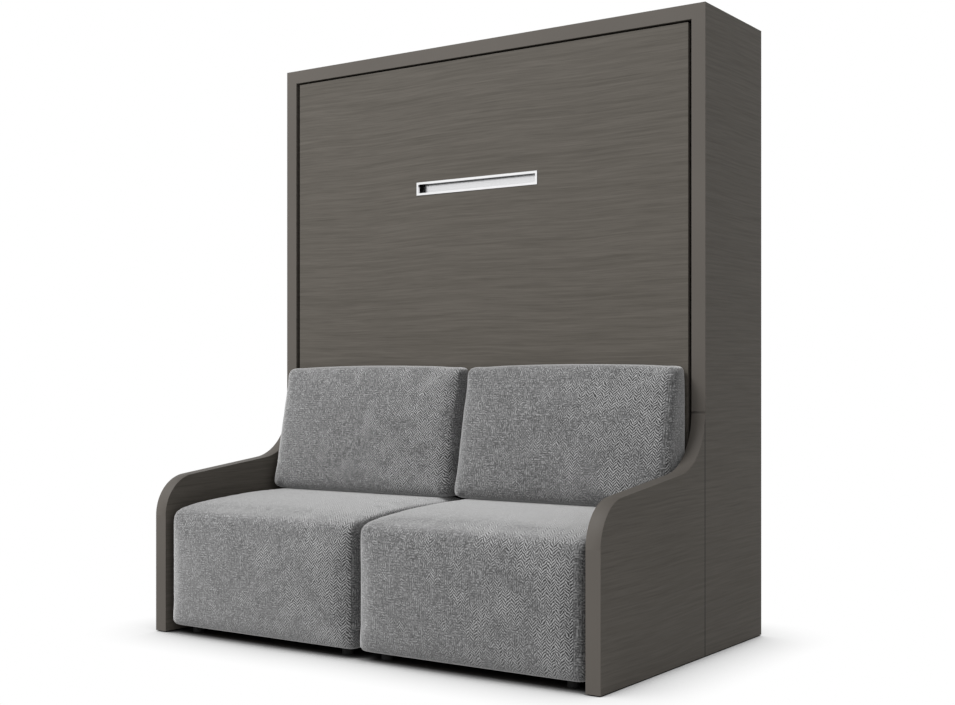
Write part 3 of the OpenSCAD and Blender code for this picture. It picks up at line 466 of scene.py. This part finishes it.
def makeFabric(name, look):
    material, tree, shader = newMaterial(name)
    place = addNode(tree, "ShaderNodeUVMap", (-900, 0), {"uv_map": "cloth"})
    weave = addGroup(tree, twillWeave, (-650, 0), {"Pitch": look["pitch"], "Column": look["column"]})
    tree.links.new(place.outputs["UV"], weave.inputs["Vector"])
    slubs = addMath(tree, "MULTIPLY", (-560, 60), weave.outputs["Slubs"], look["slubs"])
    woven = addMath(tree, "MULTIPLY_ADD", (-480, 60), weave.outputs["Threads"], look["threads"], slubs)
    yarn = addMath(tree, "MULTIPLY_ADD", (-400, 100), weave.outputs["Melange"], look["melange"], woven)
    tone = addRamp(tree, (-200, 100), yarn,
                   [(0.20, look["deep"]), (0.5, look["middle"]), (0.78, look["bright"])])
    shade = addRamp(tree, (-200, -150), weave.outputs["Clouds"],
                    [(0.3, (0.90, 0.90, 0.90)), (0.7, (1.06, 1.06, 1.06))])
    tree.links.new(addMix(tree, (150, 50), 1.0, tone, shade, "MULTIPLY"), shader.inputs["Base Color"])
    shader.inputs["Roughness"].default_value = look["rough"]
    shader.inputs["Specular IOR Level"].default_value = 0.15
    shader.inputs["Sheen Weight"].default_value = 1.0
    shader.inputs["Sheen Roughness"].default_value = look["sheen"]
    tree.links.new(addBump(tree, (420, -250), yarn, look["relief"], 0.8), shader.inputs["Normal"])
    return material


tickingLook = {
    "dark": (0.44, 0.43, 0.41),
    "light": (0.62, 0.61, 0.585),
    "pitch": 0.006,
    "repeat": 4.0,  # wider than the mattress
    "relief": 0.0009,
}


def makeTicking(name, look):
    material, tree, shader = newMaterial(name)
    place = addNode(tree, "ShaderNodeUVMap", (-900, 0), {"uv_map": "cloth"})
    # one wide repeat, set off to its middle, so no edge of it falls on the mattress
    shifted = addNode(tree, "ShaderNodeMapping", (-780, 0), None, {"Location": (look["repeat"] / 2, 0, 0)})
    tree.links.new(place.outputs["UV"], shifted.inputs["Vector"])
    weave = addGroup(tree, twillWeave, (-650, 0),
                     {"Pitch": look["pitch"], "Column": 2 * look["pitch"], "Cushion": look["repeat"]})
    tree.links.new(shifted.outputs["Vector"], weave.inputs["Vector"])
    knit = addRamp(tree, (-200, 100), weave.outputs["Threads"], [(0.1, look["dark"]), (0.6, look["light"])])
    shade = addRamp(tree, (-200, -150), weave.outputs["Clouds"],
                    [(0.3, (0.95, 0.95, 0.94)), (0.7, (1, 1, 1))])
    tree.links.new(addMix(tree, (150, 50), 1.0, knit, shade, "MULTIPLY"), shader.inputs["Base Color"])
    shader.inputs["Roughness"].default_value = 0.9
    shader.inputs["Specular IOR Level"].default_value = 0.2
    shader.inputs["Sheen Weight"].default_value = 0.2
    tree.links.new(addBump(tree, (420, -250), weave.outputs["Threads"], look["relief"], 0.6),
                   shader.inputs["Normal"])
    return material


def makeWebbing(name, dark, light):
    material, tree, shader = newMaterial(name)
    place = addNode(tree, "ShaderNodeTexCoord", (-900, 0))
    ribs = addNode(tree, "ShaderNodeTexWave", (-600, 0),
                   {"wave_type": "BANDS", "bands_direction": "DIAGONAL"}, {"Scale": 130.0, "Distortion": 0.6})
    tree.links.new(place.outputs["Object"], ribs.inputs["Vector"])
    tint = addRamp(tree, (-300, 0), ribs.outputs["Fac"], [(0.2, dark), (0.8, light)])
    tree.links.new(tint, shader.inputs["Base Color"])
    shader.inputs["Roughness"].default_value = 0.75
    tree.links.new(addBump(tree, (300, -200), ribs.outputs["Fac"], 0.0004, 0.6), shader.inputs["Normal"])
    return material


def makeMetal(name, color, shine, spread, along=6.0, across=900.0, depth=0.00004):
    material, tree, shader = newMaterial(name)
    place = addNode(tree, "ShaderNodeTexCoord", (-900, 0))
    brush = addGroup(tree, brushLines, (-600, 0), {"Along": along, "Across": across})
    tree.links.new(place.outputs["Object"], brush.inputs["Vector"])
    shader.inputs["Metallic"].default_value = 1.0
    tint = addRamp(tree, (-300, 150), brush.outputs["Lines"],
                   [(0.3, shaded(color, 0.90)), (0.7, color)])
    tree.links.new(tint, shader.inputs["Base Color"])
    rough = addMath(tree, "MULTIPLY_ADD", (0, -100), brush.outputs["Smears"], spread, shine)
    tree.links.new(rough, shader.inputs["Roughness"])
    tree.links.new(addBump(tree, (300, -250), brush.outputs["Lines"], depth, 0.4), shader.inputs["Normal"])
    return material


def makePaint(name, color, shine, orange=260.0, depth=0.00008, specular=0.5, mottle=0.13):
    material, tree, shader = newMaterial(name)
    place = addNode(tree, "ShaderNodeTexCoord", (-900, 0))
    skin = addNoise(tree, (-600, -150), place.outputs["Object"], orange, 3.0)
    smudge = addNoise(tree, (-600, 150), place.outputs["Object"], 8.0, 3.0)
    tint = addRamp(tree, (-300, 150), smudge,
                   [(0.3, shaded(color, 1 - mottle)), (0.7, shaded(color, 1 + mottle))])
    tree.links.new(tint, shader.inputs["Base Color"])
    tree.links.new(addMath(tree, "MULTIPLY_ADD", (0, 0), smudge, 0.14, shine), shader.inputs["Roughness"])
    tree.links.new(addBump(tree, (300, -250), skin, depth, 0.6), shader.inputs["Normal"])
    shader.inputs["Specular IOR Level"].default_value = specular
    return material


def makePly(name, dark, light):
    material, tree, shader = newMaterial(name)
    place = addNode(tree, "ShaderNodeTexCoord", (-900, 0))
    grain = addGrain(tree, (-600, 0), place, 0.8)
    tint = addRamp(tree, (-300, 100), grain.outputs["Streaks"], [(0.3, dark), (0.7, light)])
    tree.links.new(tint, shader.inputs["Base Color"])
    rough = addMath(tree, "MULTIPLY_ADD", (0, -100), grain.outputs["Pores"], 0.2, 0.5)
    tree.links.new(rough, shader.inputs["Roughness"])
    tree.links.new(addBump(tree, (300, -250), grain.outputs["Pores"], 0.0002, 0.5), shader.inputs["Normal"])
    return material


foilOnX = makeBoard("foilOnSides", (1, 0, 0), boardLook)
foilOnArms = makeBoard("foilOnArms", (1, 0, 0), boardLook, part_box("arm_left")[1].y)
foilOnY = makeBoard("foilOnFronts", (0, 1, 0), boardLook)
foilOnZ = makeBoard("foilOnTops", (0, 0, 1), boardLook)
greyTwill = makeFabric("greyTwill", fabricLook)
ticking = makeTicking("mattressTicking", tickingLook)
webbing = makeWebbing("strapWebbing", (0.02, 0.02, 0.022), (0.06, 0.06, 0.064))
zinc = makeMetal("zincPlate", (0.62, 0.63, 0.65), 0.30, 0.20, 40.0, 400.0)
polished = makeMetal("polishedRim", (0.93, 0.93, 0.94), 0.07, 0.05, 20.0, 300.0, 0.00001)
brushed = makeMetal("brushedPlate", (0.80, 0.80, 0.81), 0.20, 0.10, 5.0, 1300.0, 0.00003)
brass = makeMetal("bushBrass", (0.62, 0.45, 0.20), 0.32, 0.15, 40.0, 400.0)
springSteel = makePaint("springSteel", (0.05, 0.05, 0.054), 0.30, 500.0, 0.00003, 0.6)
powderCoat = makePaint("powderCoat", (0.045, 0.045, 0.048), 0.46, 420.0, 0.0001)
blackRubber = makePaint("blackRubber", (0.016, 0.016, 0.016), 0.72, 300.0, 0.0001, 0.3)
blackPlastic = makePaint("blackPlastic", (0.006, 0.006, 0.006), 0.55, 380.0, 0.00006, 0.05)
hardboard = makePaint("backHardboard", (0.50, 0.49, 0.465), 0.70, 600.0, 0.00006, 0.3, 0.03)
bareBirch = makePly("bareBirch", (0.50, 0.37, 0.22), (0.68, 0.54, 0.36))

finishOf = {
    "side_left": foilOnX, "side_right": foilOnX, "arm_left": foilOnArms, "arm_right": foilOnArms,
    "side_rail_left": foilOnX, "side_rail_right": foilOnX,
    "top_board": foilOnZ, "head_rail": foilOnZ, "foot_rail": foilOnZ,
    "front_panel": foilOnY, "lower_panel": foilOnY, "rear_rail_top": foilOnY, "rear_rail_base": foilOnY,
    "front_base_rail": foilOnY, "sofa_rail": foilOnY,
    "back_panel_left": hardboard, "back_panel_right": hardboard, "back_strip": hardboard,
    "top_dowels": bareBirch, "seat_platform_left": bareBirch, "seat_platform_right": bareBirch,
    "seat_battens": bareBirch, "slats_left": bareBirch, "slats_right": bareBirch,
    "pivot_plate_left": zinc, "pivot_plate_right": zinc, "pivot_screws": zinc,
    "spring_anchor_left": zinc, "spring_anchor_right": zinc, "arm_plates": zinc, "arm_screws": zinc,
    "bed_lever_left": zinc, "bed_lever_right": zinc, "lever_screws": zinc, "leg_brackets": zinc,
    "glides": blackRubber, "stop_pads": blackRubber, "seat_feet": blackRubber, "leg_sleeves": blackRubber,
    "handle_frame": polished, "handle_plate": brushed,
    "handle_tub": blackPlastic, "slat_holders": blackPlastic, "leg_clips": blackPlastic,
    "centre_beam": powderCoat, "leg_arm_left": powderCoat, "leg_arm_right": powderCoat,
    "leg_crossbar": powderCoat, "pivot_bushes": brass,
}
for node, finish in finishOf.items():
    setMaterial(cad[node], finish)


edgePlan = {
    "boards": ("side_left", "side_right", "arm_left", "arm_right", "top_board", "front_panel", "lower_panel"),
    "radius": 0.0014,
    "sharp": 40,  # degrees from which an edge is rounded
    "weld": 0.00002,
}


def softenEdges(node, plan):
    weld = cad[node].modifiers.new("weld", "WELD")
    weld.merge_threshold = plan["weld"]
    bevel = cad[node].modifiers.new("softEdges", "BEVEL")
    bevel.width = plan["radius"]
    bevel.segments = 2
    bevel.limit_method = "ANGLE"
    bevel.angle_limit = math.radians(plan["sharp"])


for node in edgePlan["boards"]:
    softenEdges(node, edgePlan)
print("finishes made")


# padded pieces: a copy of the plain solid, blown up a little and kept off its neighbours

padPlan = {
    "voxel": 0.013,
    "inset": 0.0025,
    "pressure": 4.0,
    "frames": 20,
    "cap": 0.009,
    "ripple": 0.0014,
    "rounds": 9,  # smoothing rounds that turn the edges over
    "cloth": {"quality": 4, "mass": 0.03, "tension_stiffness": 12, "compression_stiffness": 12,
              "shear_stiffness": 6, "bending_stiffness": 1},
}


def remesh(piece, voxel):
    makeActive(piece)
    piece.data.remesh_voxel_size = voxel
    piece.data.remesh_voxel_adaptivity = 0
    bpy.ops.object.voxel_remesh()


def shrink(piece, amount, isFree, box):
    makeActive(piece)
    before = readPoints(piece)
    bpy.ops.object.mode_set(mode="EDIT")
    bpy.ops.mesh.select_all(action="SELECT")
    bpy.ops.transform.shrink_fatten(value=-amount, use_even_offset=False)
    bpy.ops.object.mode_set(mode="OBJECT")
    after = readPoints(piece)
    if np.linalg.norm(np.ptp(after, axis=0)) > np.linalg.norm(np.ptp(before, axis=0)):
        after = 2 * before - after  # the faces looked inward
    free = isFree(before, *box)[:, None]
    writePoints(piece, np.where(free, after, before))


def blowUp(piece, plan, isFree, box):
    makeActive(piece)
    start = readPoints(piece)
    held = piece.vertex_groups.new(name="held")
    held.add([int(i) for i in np.nonzero(~isFree(start, *box))[0]], 1.0, "REPLACE")
    cloth = piece.modifiers.new("cloth", "CLOTH")
    settings = cloth.settings
    for key, value in plan["cloth"].items():
        setattr(settings, key, value)
    settings.use_pressure = True
    settings.uniform_pressure_force = plan["pressure"]
    settings.vertex_group_mass = "held"
    settings.effector_weights.gravity = 0
    cloth.point_cache.frame_start = 1
    cloth.point_cache.frame_end = plan["frames"]
    for number in range(1, plan["frames"] + 1):
        bpy.context.scene.frame_set(number)
    blown = piece.evaluated_get(bpy.context.evaluated_depsgraph_get())
    end = np.empty(len(blown.data.vertices) * 3)
    blown.data.vertices.foreach_get("co", end)
    moved = end.reshape(-1, 3) - start
    far = np.linalg.norm(moved, axis=1, keepdims=True)
    piece.modifiers.remove(cloth)
    piece.vertex_groups.remove(held)
    # far moves are held back, so the corners keep their shape
    writePoints(piece, start + moved * plan["cap"] / (plan["cap"] + far))
    bpy.context.scene.frame_set(1)


def ripple(points, size, seed):
    # six slow waves that run across each other
    phase = np.random.default_rng(seed).uniform(0, 2 * math.pi, (6, 3))
    waves = np.zeros(len(points))
    for index, shift in enumerate(phase):
        span = 9 + 4 * index
        run = points @ np.array([span, span * 0.8, span * 1.1]) * (1 - 0.2 * (index % 3))
        waves += np.sin(run + shift[0]) * np.cos(points[:, 0] * span * 0.7 + shift[1])
    return size * waves / len(phase)


def setClothUv(piece, frontEdge):
    mesh = piece.data
    uv = mesh.uv_layers.new(name="cloth")
    points = readPoints(piece)
    corners = np.empty(len(mesh.loops), dtype=np.int32)
    mesh.loops.foreach_get("vertex_index", corners)
    totals = np.empty(len(mesh.polygons), dtype=np.int32)
    mesh.polygons.foreach_get("loop_total", totals)
    normals = np.empty(len(mesh.polygons) * 3)
    mesh.polygons.foreach_get("normal", normals)
    normals = np.repeat(normals.reshape(-1, 3), totals, axis=0)
    p = points[corners]
    size = np.abs(normals)
    side = size[:, 0] > np.maximum(size[:, 1], size[:, 2])
    level = ~side & (size[:, 2] > size[:, 1])
    u = np.where(side, p[:, 1], p[:, 0])
    v = np.where(level, p[:, 1] + frontEdge[1] - frontEdge[0], p[:, 2])
    uv.data.foreach_set("uv", np.column_stack([u, v]).ravel())


def subdivide(piece):
    finer = piece.modifiers.new("subdivision", "SUBSURF")
    finer.levels = 1
    finer.render_levels = 1
    applyModifiers(piece)
    bpy.ops.object.shade_smooth()


def finishPad(piece, node, body, material):
    setMaterial(piece, material)
    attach(piece, body)
    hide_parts(node)


seatPlan = {
    "skirt": 0.012,  # height of the lower edge that stays as it is
    "rear": 0.004,  # depth of the rear face that stays as it is
    "rearStrip": 0.20,  # depth of the strip under the back cushion
    "crown": 0.012,
    "wrap": 0.05,  # where the weave turns over the front edge, below the top
}
backPlan = {
    "base": 0.004,  # depth of the lower and rear faces that stay as they are
    "crown": 0.014,
    "wrap": 0.08,  # where the weave turns over the upper edge, behind the front
}


def seatIsFree(points, low, high):
    return (points[:, 2] > low.z + seatPlan["skirt"]) & (points[:, 1] < high.y - seatPlan["rear"])


def backIsFree(points, low, high):
    return (points[:, 2] > low.z + backPlan["base"]) & (points[:, 1] < high.y - backPlan["base"])


def relax(piece, rounds):
    smooth = piece.modifiers.new("smooth", "SMOOTH")
    smooth.factor = 0.5
    smooth.iterations = rounds
    applyModifiers(piece)


def crownFront(points, low, high, amount):
    # the front bulges in its middle and keeps its edges
    middle, half = (low + high) / 2, (high - low) / 2
    across = np.clip(1 - np.abs((points[:, 0] - middle.x) / half.x) ** 3, 0, 1)
    upward = np.clip(1 - np.abs((points[:, 2] - middle.z) / half.z) ** 3, 0, 1)
    ahead = np.clip((middle.y - points[:, 1]) / (0.5 * half.y), 0, 1)
    points[:, 1] -= amount * across * upward * ahead


def blownCopy(node, name, isFree):
    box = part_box(node)
    piece = mergedCopy(node, name)
    remesh(piece, padPlan["voxel"])
    relax(piece, padPlan["rounds"])
    shrink(piece, padPlan["inset"], isFree, box)
    blowUp(piece, padPlan, isFree, box)
    relax(piece, 2)
    return piece


def mirroredCopy(piece, name):
    makeActive(piece)
    bpy.ops.object.duplicate()
    copy = bpy.context.object
    copy.name = name
    bpy.ops.object.mode_set(mode="EDIT")
    bpy.ops.mesh.select_all(action="SELECT")
    bpy.ops.transform.mirror(constraint_axis=(True, False, False), center_override=(0, 0, 0))
    bpy.ops.mesh.normals_make_consistent(inside=False)
    bpy.ops.object.mode_set(mode="OBJECT")
    return copy


def finishSeat(piece, side, seed):
    node = "seat_cushion_" + side
    low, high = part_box(node)
    points = readPoints(piece)
    free = seatIsFree(points, low, high)
    points[:, 2] += np.where(free, ripple(points, padPlan["ripple"], seed), 0)
    points[:, 1] += np.where(free, ripple(points, padPlan["ripple"], seed + 1), 0)
    underBack = points[:, 1] > high.y - seatPlan["rearStrip"]
    points[:, 2] = np.where(underBack, np.minimum(points[:, 2], high.z), points[:, 2])
    points[:, 1] = np.minimum(points[:, 1], high.y)
    crownFront(points, low, high, seatPlan["crown"])
    writePoints(piece, points)
    subdivide(piece)
    setClothUv(piece, (low.y, high.z - seatPlan["wrap"]))
    finishPad(piece, node, "cabinet", greyTwill)


def finishBack(piece, side, seed):
    node = "back_cushion_" + side
    low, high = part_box(node)
    points = readPoints(piece)
    free = backIsFree(points, low, high)
    points[:, 1] += np.where(free, ripple(points, padPlan["ripple"], seed), 0)
    points[:, 2] = np.maximum(points[:, 2], low.z)
    points[:, 1] = np.minimum(points[:, 1], high.y)
    crownFront(points, low, high, backPlan["crown"])
    writePoints(piece, points)
    subdivide(piece)
    setClothUv(piece, (low.y + backPlan["wrap"], high.z))
    finishPad(piece, node, node, greyTwill)


seatPad = blownCopy("seat_cushion_left", "seat_pad_left", seatIsFree)
backPad = blownCopy("back_cushion_left", "back_pad_left", backIsFree)
seatTwin = mirroredCopy(seatPad, "seat_pad_right")
backTwin = mirroredCopy(backPad, "back_pad_right")
finishSeat(seatPad, "left", 3)
finishSeat(seatTwin, "right", 11)
finishBack(backPad, "left", 7)
finishBack(backTwin, "right", 19)
print("cushions made")


# mattress: quilted faces and a piped edge

mattressPlan = {
    "voxel": 0.018,
    "rounds": 3,
    "quilt": 0.22,  # from stitch line to stitch line
    "depth": 0.007,
    "stitch": 0.16,  # softness of the stitched grooves
    "face": (0.80, 0.15),  # share of the thickness where the quilting starts, and over which it comes in
    "quiltedTo": 0.76,  # half the quilted width
    "endStrip": 0.05,  # plain strip at the head and the foot
    "ease": 0.03,
    "piping": 0.0045,
    "pipingIn": 0.024,
    "corner": 0.03,
}


def makeMattress(plan):
    low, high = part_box("mattress")
    piece = mergedCopy("mattress", "mattress_pad")
    remesh(piece, plan["voxel"])
    relax(piece, plan["rounds"])
    subdivide(piece)
    points = readPoints(piece)
    middle = (low + high) / 2
    x = points[:, 0] - middle.x
    z = points[:, 2] - middle.z
    lines = np.abs(np.sin(math.pi * (x + z) / plan["quilt"]) * np.sin(math.pi * (x - z) / plan["quilt"]))
    sink = plan["depth"] * np.exp(-(lines / plan["stitch"]) ** 2)
    share = (points[:, 1] - middle.y) / (high.y - middle.y)
    faceFrom, faceOver = plan["face"]
    onFace = np.clip((np.abs(share) - faceFrom) / faceOver, 0, 1)
    inWidth = np.clip((plan["quiltedTo"] - np.abs(x)) / plan["ease"], 0, 1)
    inLength = np.clip((high.z - middle.z - plan["endStrip"] - np.abs(z)) / plan["ease"], 0, 1)
    points[:, 1] -= np.sign(share) * sink * onFace * (inWidth * inLength)
    writePoints(piece, points)
    setClothUv(piece, (low.y, high.z))
    finishPad(piece, "mattress", "bed", ticking)
    makePiping("mattress_piping_front", low, high, low.y + plan["pipingIn"], plan)
    makePiping("mattress_piping_rear", low, high, high.y - plan["pipingIn"], plan)


def makePiping(name, low, high, y, plan):
    deselectAll()
    bpy.ops.mesh.primitive_plane_add(
        size=1, location=(0, y, (low.z + high.z) / 2), rotation=(math.radians(90), 0, 0))
    piece = bpy.context.object
    piece.name = name
    piece.scale = (high.x - low.x, high.z - low.z, 1)
    bpy.ops.object.transform_apply(location=True, rotation=True, scale=True)
    bpy.ops.object.mode_set(mode="EDIT")
    bpy.ops.mesh.select_all(action="SELECT")
    bpy.ops.mesh.bevel(offset=plan["corner"], segments=6, affect="VERTICES")
    bpy.ops.mesh.delete(type="ONLY_FACE")
    bpy.ops.object.mode_set(mode="OBJECT")
    bpy.ops.object.convert(target="CURVE")
    piece.data.bevel_depth = plan["piping"]
    piece.data.bevel_resolution = 3
    bpy.ops.object.convert(target="MESH")
    bpy.ops.object.shade_smooth()
    setClothUv(piece, (low.y, high.z))
    setMaterial(piece, ticking)
    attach(piece, "bed")


makeMattress(mattressPlan)
print("mattress made")


# straps that hold the mattress on the folded bed

strapPlan = {
    "width": 0.05,
    "thick": 0.0013,
    "round": 0.012,
    "lift": 0.0006,
}


def makeStrap(name, z, low, high, plan):
    deselectAll()
    bpy.ops.mesh.primitive_plane_add(size=1, location=(0, (low.y + high.y) / 2, z + plan["width"] / 2))
    piece = bpy.context.object
    piece.name = name
    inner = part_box("mattress")[1]
    piece.scale = (2 * (inner.x + plan["lift"]), 2 * (high.y - low.y), 1)
    bpy.ops.object.transform_apply(location=True, rotation=True, scale=True)
    bpy.ops.object.mode_set(mode="EDIT")
    bpy.ops.mesh.select_all(action="SELECT")
    bpy.ops.mesh.delete(type="ONLY_FACE")
    bpy.ops.object.mode_set(mode="OBJECT")
    points = readPoints(piece)
    points[:, 1] = np.where(points[:, 1] > (low.y + high.y) / 2, inner.y + plan["lift"], low.y)
    writePoints(piece, points)
    bpy.ops.object.mode_set(mode="EDIT")
    bpy.ops.mesh.select_mode(type="EDGE")
    bpy.ops.mesh.select_all(action="DESELECT")
    bpy.ops.object.mode_set(mode="OBJECT")
    for edge in piece.data.edges:
        edge.select = all(points[i][1] < (low.y + high.y) / 2 for i in edge.vertices)
    bpy.ops.object.mode_set(mode="EDIT")
    bpy.ops.mesh.delete(type="EDGE")
    bpy.ops.mesh.select_all(action="SELECT")
    bpy.ops.mesh.bevel(offset=plan["round"], segments=4, affect="VERTICES")
    bpy.ops.mesh.select_all(action="SELECT")
    bpy.ops.mesh.extrude_region_move(TRANSFORM_OT_translate={"value": (0, 0, plan["width"])})
    bpy.ops.mesh.select_all(action="SELECT")
    bpy.ops.transform.translate(value=(0, 0, -plan["width"] / 2))
    bpy.ops.mesh.normals_make_consistent(inside=False)
    bpy.ops.object.mode_set(mode="OBJECT")
    thick = piece.modifiers.new("thickness", "SOLIDIFY")
    thick.thickness = plan["thick"]
    thick.offset = 1
    applyModifiers(piece)
    bpy.ops.object.shade_smooth_by_angle(angle=math.radians(40))
    setMaterial(piece, webbing)
    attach(piece, "bed")
    return piece


def makeStraps(plan):
    low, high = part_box("mattress_straps")
    lower = makeStrap("strap_lower", low.z, low, high, plan)
    makeStrap("strap_upper", high.z - plan["width"], low, high, plan)
    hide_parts("mattress_straps")


makeStraps(strapPlan)
print("straps made")


# springs: round wire, with hooks round the pins

springPlan = {
    "apart": 0.030,  # from spring to spring
    "wire": 0.0022,
    "coil": 0.0084,
    "turns": 10,
    "steps": 16,  # points to each turn
    "hook": 0.0066,
    "hookSteps": 12,
    "riser": 0.012,  # from a hook to the coil
}


def hookTurns(plan):
    # from 30 degrees past the pin's side to straight across it
    return [math.radians(30 + step * 150 / plan["hookSteps"]) for step in range(plan["hookSteps"] + 1)]


def springLine(plan, y, lowZ, highZ):
    hook, coil = plan["hook"], plan["coil"]
    line = [(0, hook * math.cos(turn), lowZ - hook * math.sin(turn)) for turn in hookTurns(plan)]
    first, last = lowZ + hook + plan["riser"], highZ - hook - plan["riser"]
    count = plan["turns"] * plan["steps"]
    for step in range(count + 1):
        turn = math.pi + 2 * math.pi * step / plan["steps"]
        line.append((coil * math.sin(turn), coil * math.cos(turn), first + (last - first) * step / count))
    line += [(0, hook * math.cos(turn), highZ + hook * math.sin(turn)) for turn in reversed(hookTurns(plan))]
    return [(x, y + forward, z) for x, forward, z in line]


def makeSprings(side, sign, plan):
    node = "springs_" + side
    low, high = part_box(node)
    frontY = (low.y + high.y - plan["apart"]) / 2
    lowZ = low.z + plan["hook"] + plan["wire"]
    highZ = high.z - plan["hook"] - plan["wire"]
    middleX = (low.x + high.x) / 2
    for number in (1, 2):
        line = springLine(plan, frontY + plan["apart"] * (number - 1), lowZ, highZ)
        curve = bpy.data.curves.new("springWire", "CURVE")
        curve.dimensions = "3D"
        spline = curve.splines.new("POLY")
        spline.points.add(len(line) - 1)
        for point, (x, y, z) in zip(spline.points, line):
            point.co = (middleX + sign * x, y, z, 1)
        curve.bevel_depth = plan["wire"]
        curve.bevel_resolution = 2
        curve.use_fill_caps = True
        piece = bpy.data.objects.new("spring_%s_%d" % (side, number), curve)
        bpy.context.scene.collection.objects.link(piece)
        makeActive(piece)
        bpy.ops.object.convert(target="MESH")
        bpy.ops.object.shade_smooth_by_angle(angle=math.radians(50))
        setMaterial(piece, springSteel)
        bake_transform(piece)
        if number == 1:
            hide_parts(node)


makeSprings("left", -1, springPlan)
makeSprings("right", 1, springPlan)
print("springs made")


# floor, room light and lamps

roomPlan = {
    "floor": (0.39, 0.39, 0.39),  # what lights the object
    "seen": (0.35, 0.35, 0.35),  # what the camera sees, before the glow
    "size": 60,
    "drop": 0.0004,  # below the glides, so they never share a face
    "room": 0.70,
    "reach": 0.27,  # the contact shadow is gone this far from the object
    "glow": [(0.42, 0.0), (0.52, 0.36), (0.58, 0.60), (0.66, 0.70), (1.0, 1.0)],  # openness and glow
}


def cameraSees(tree, place):
    path = addNode(tree, "ShaderNodeLightPath", place)
    kinds = ("Camera", "Glossy", "Transmission")
    camera, glossy, through = (path.outputs["Is %s Ray" % kind] for kind in kinds)
    both = addMath(tree, "MAXIMUM", (place[0] + 180, place[1]), camera, glossy)
    return addMath(tree, "MAXIMUM", (place[0] + 340, place[1]), both, through)


def makeFloor(plan):
    deselectAll()
    bpy.ops.mesh.primitive_plane_add(size=plan["size"], location=(0, 0, -plan["drop"]))
    floor = bpy.context.object
    floor.name = "paleFloor"
    material, tree, shader = newMaterial("paleFloor")
    shader.inputs["Roughness"].default_value = 0.9
    shader.inputs["Specular IOR Level"].default_value = 0.05
    seen = cameraSees(tree, (-1100, 300))
    # the glow and, for the camera, the floor's colour fade to dark by ambient occlusion where the object
    # shelters the floor: a painted contact shadow over the real one, which follows the object in every pose
    shelter = addNode(tree, "ShaderNodeAmbientOcclusion", (-900, -200),
                      {"samples": 16}, {"Distance": plan["reach"]})
    openness = shelter.outputs["AO"]
    # painted shadow: the colour the camera sees goes to black where the floor is sheltered
    under = addMix(tree, (-500, 100), openness, (0, 0, 0), plan["seen"])
    tree.links.new(addMix(tree, (-300, 300), seen, plan["floor"], under), shader.inputs["Base Color"])
    stops = [(at, (level, level, level)) for at, level in plan["glow"]]
    glowing = addRamp(tree, (-500, -200), openness, stops)
    share = addMath(tree, "MULTIPLY", (400, -120), glowing, seen)
    glow = addNode(tree, "ShaderNodeEmission", (700, -350), None, {"Color": (1, 1, 1, 1), "Strength": 1.0})
    mix = addNode(tree, "ShaderNodeMixShader", (1000, 0))
    tree.links.new(share, mix.inputs[0])
    tree.links.new(shader.outputs[0], mix.inputs[1])
    tree.links.new(glow.outputs[0], mix.inputs[2])
    tree.links.new(mix.outputs[0], tree.nodes["Material Output"].inputs["Surface"])
    setMaterial(floor, material)


def makeSky(plan):
    world = bpy.data.worlds.new("softRoom")
    world.use_nodes = True
    bpy.context.scene.world = world
    sky = world.node_tree
    level = plan["room"]
    tint = addMix(sky, (-300, 0), cameraSees(sky, (-900, 0)), (level, level, level), (1.0, 1.0, 1.0))
    sky.links.new(tint, sky.nodes["Background"].inputs["Color"])


lampPlan = {
    "key": {"place": (-5.0, -5.8, 9.4), "aim": (0.0, -0.2, 0.8), "size": 5.2, "power": 1360},
}


def makeLamps(plan):
    for name, lamp in plan.items():
        deselectAll()
        bpy.ops.object.light_add(type="AREA", location=lamp["place"])
        light = bpy.context.object
        light.name = name + "Lamp"
        light.data.shape = "SQUARE"
        light.data.size = lamp["size"]
        light.data.energy = lamp["power"]
        aim = Vector(lamp["aim"]) - Vector(lamp["place"])
        light.rotation_euler = aim.to_track_quat("-Z", "Y").to_euler()


makeFloor(roomPlan)
makeSky(roomPlan)
makeLamps(lampPlan)
print("room and lamps made")
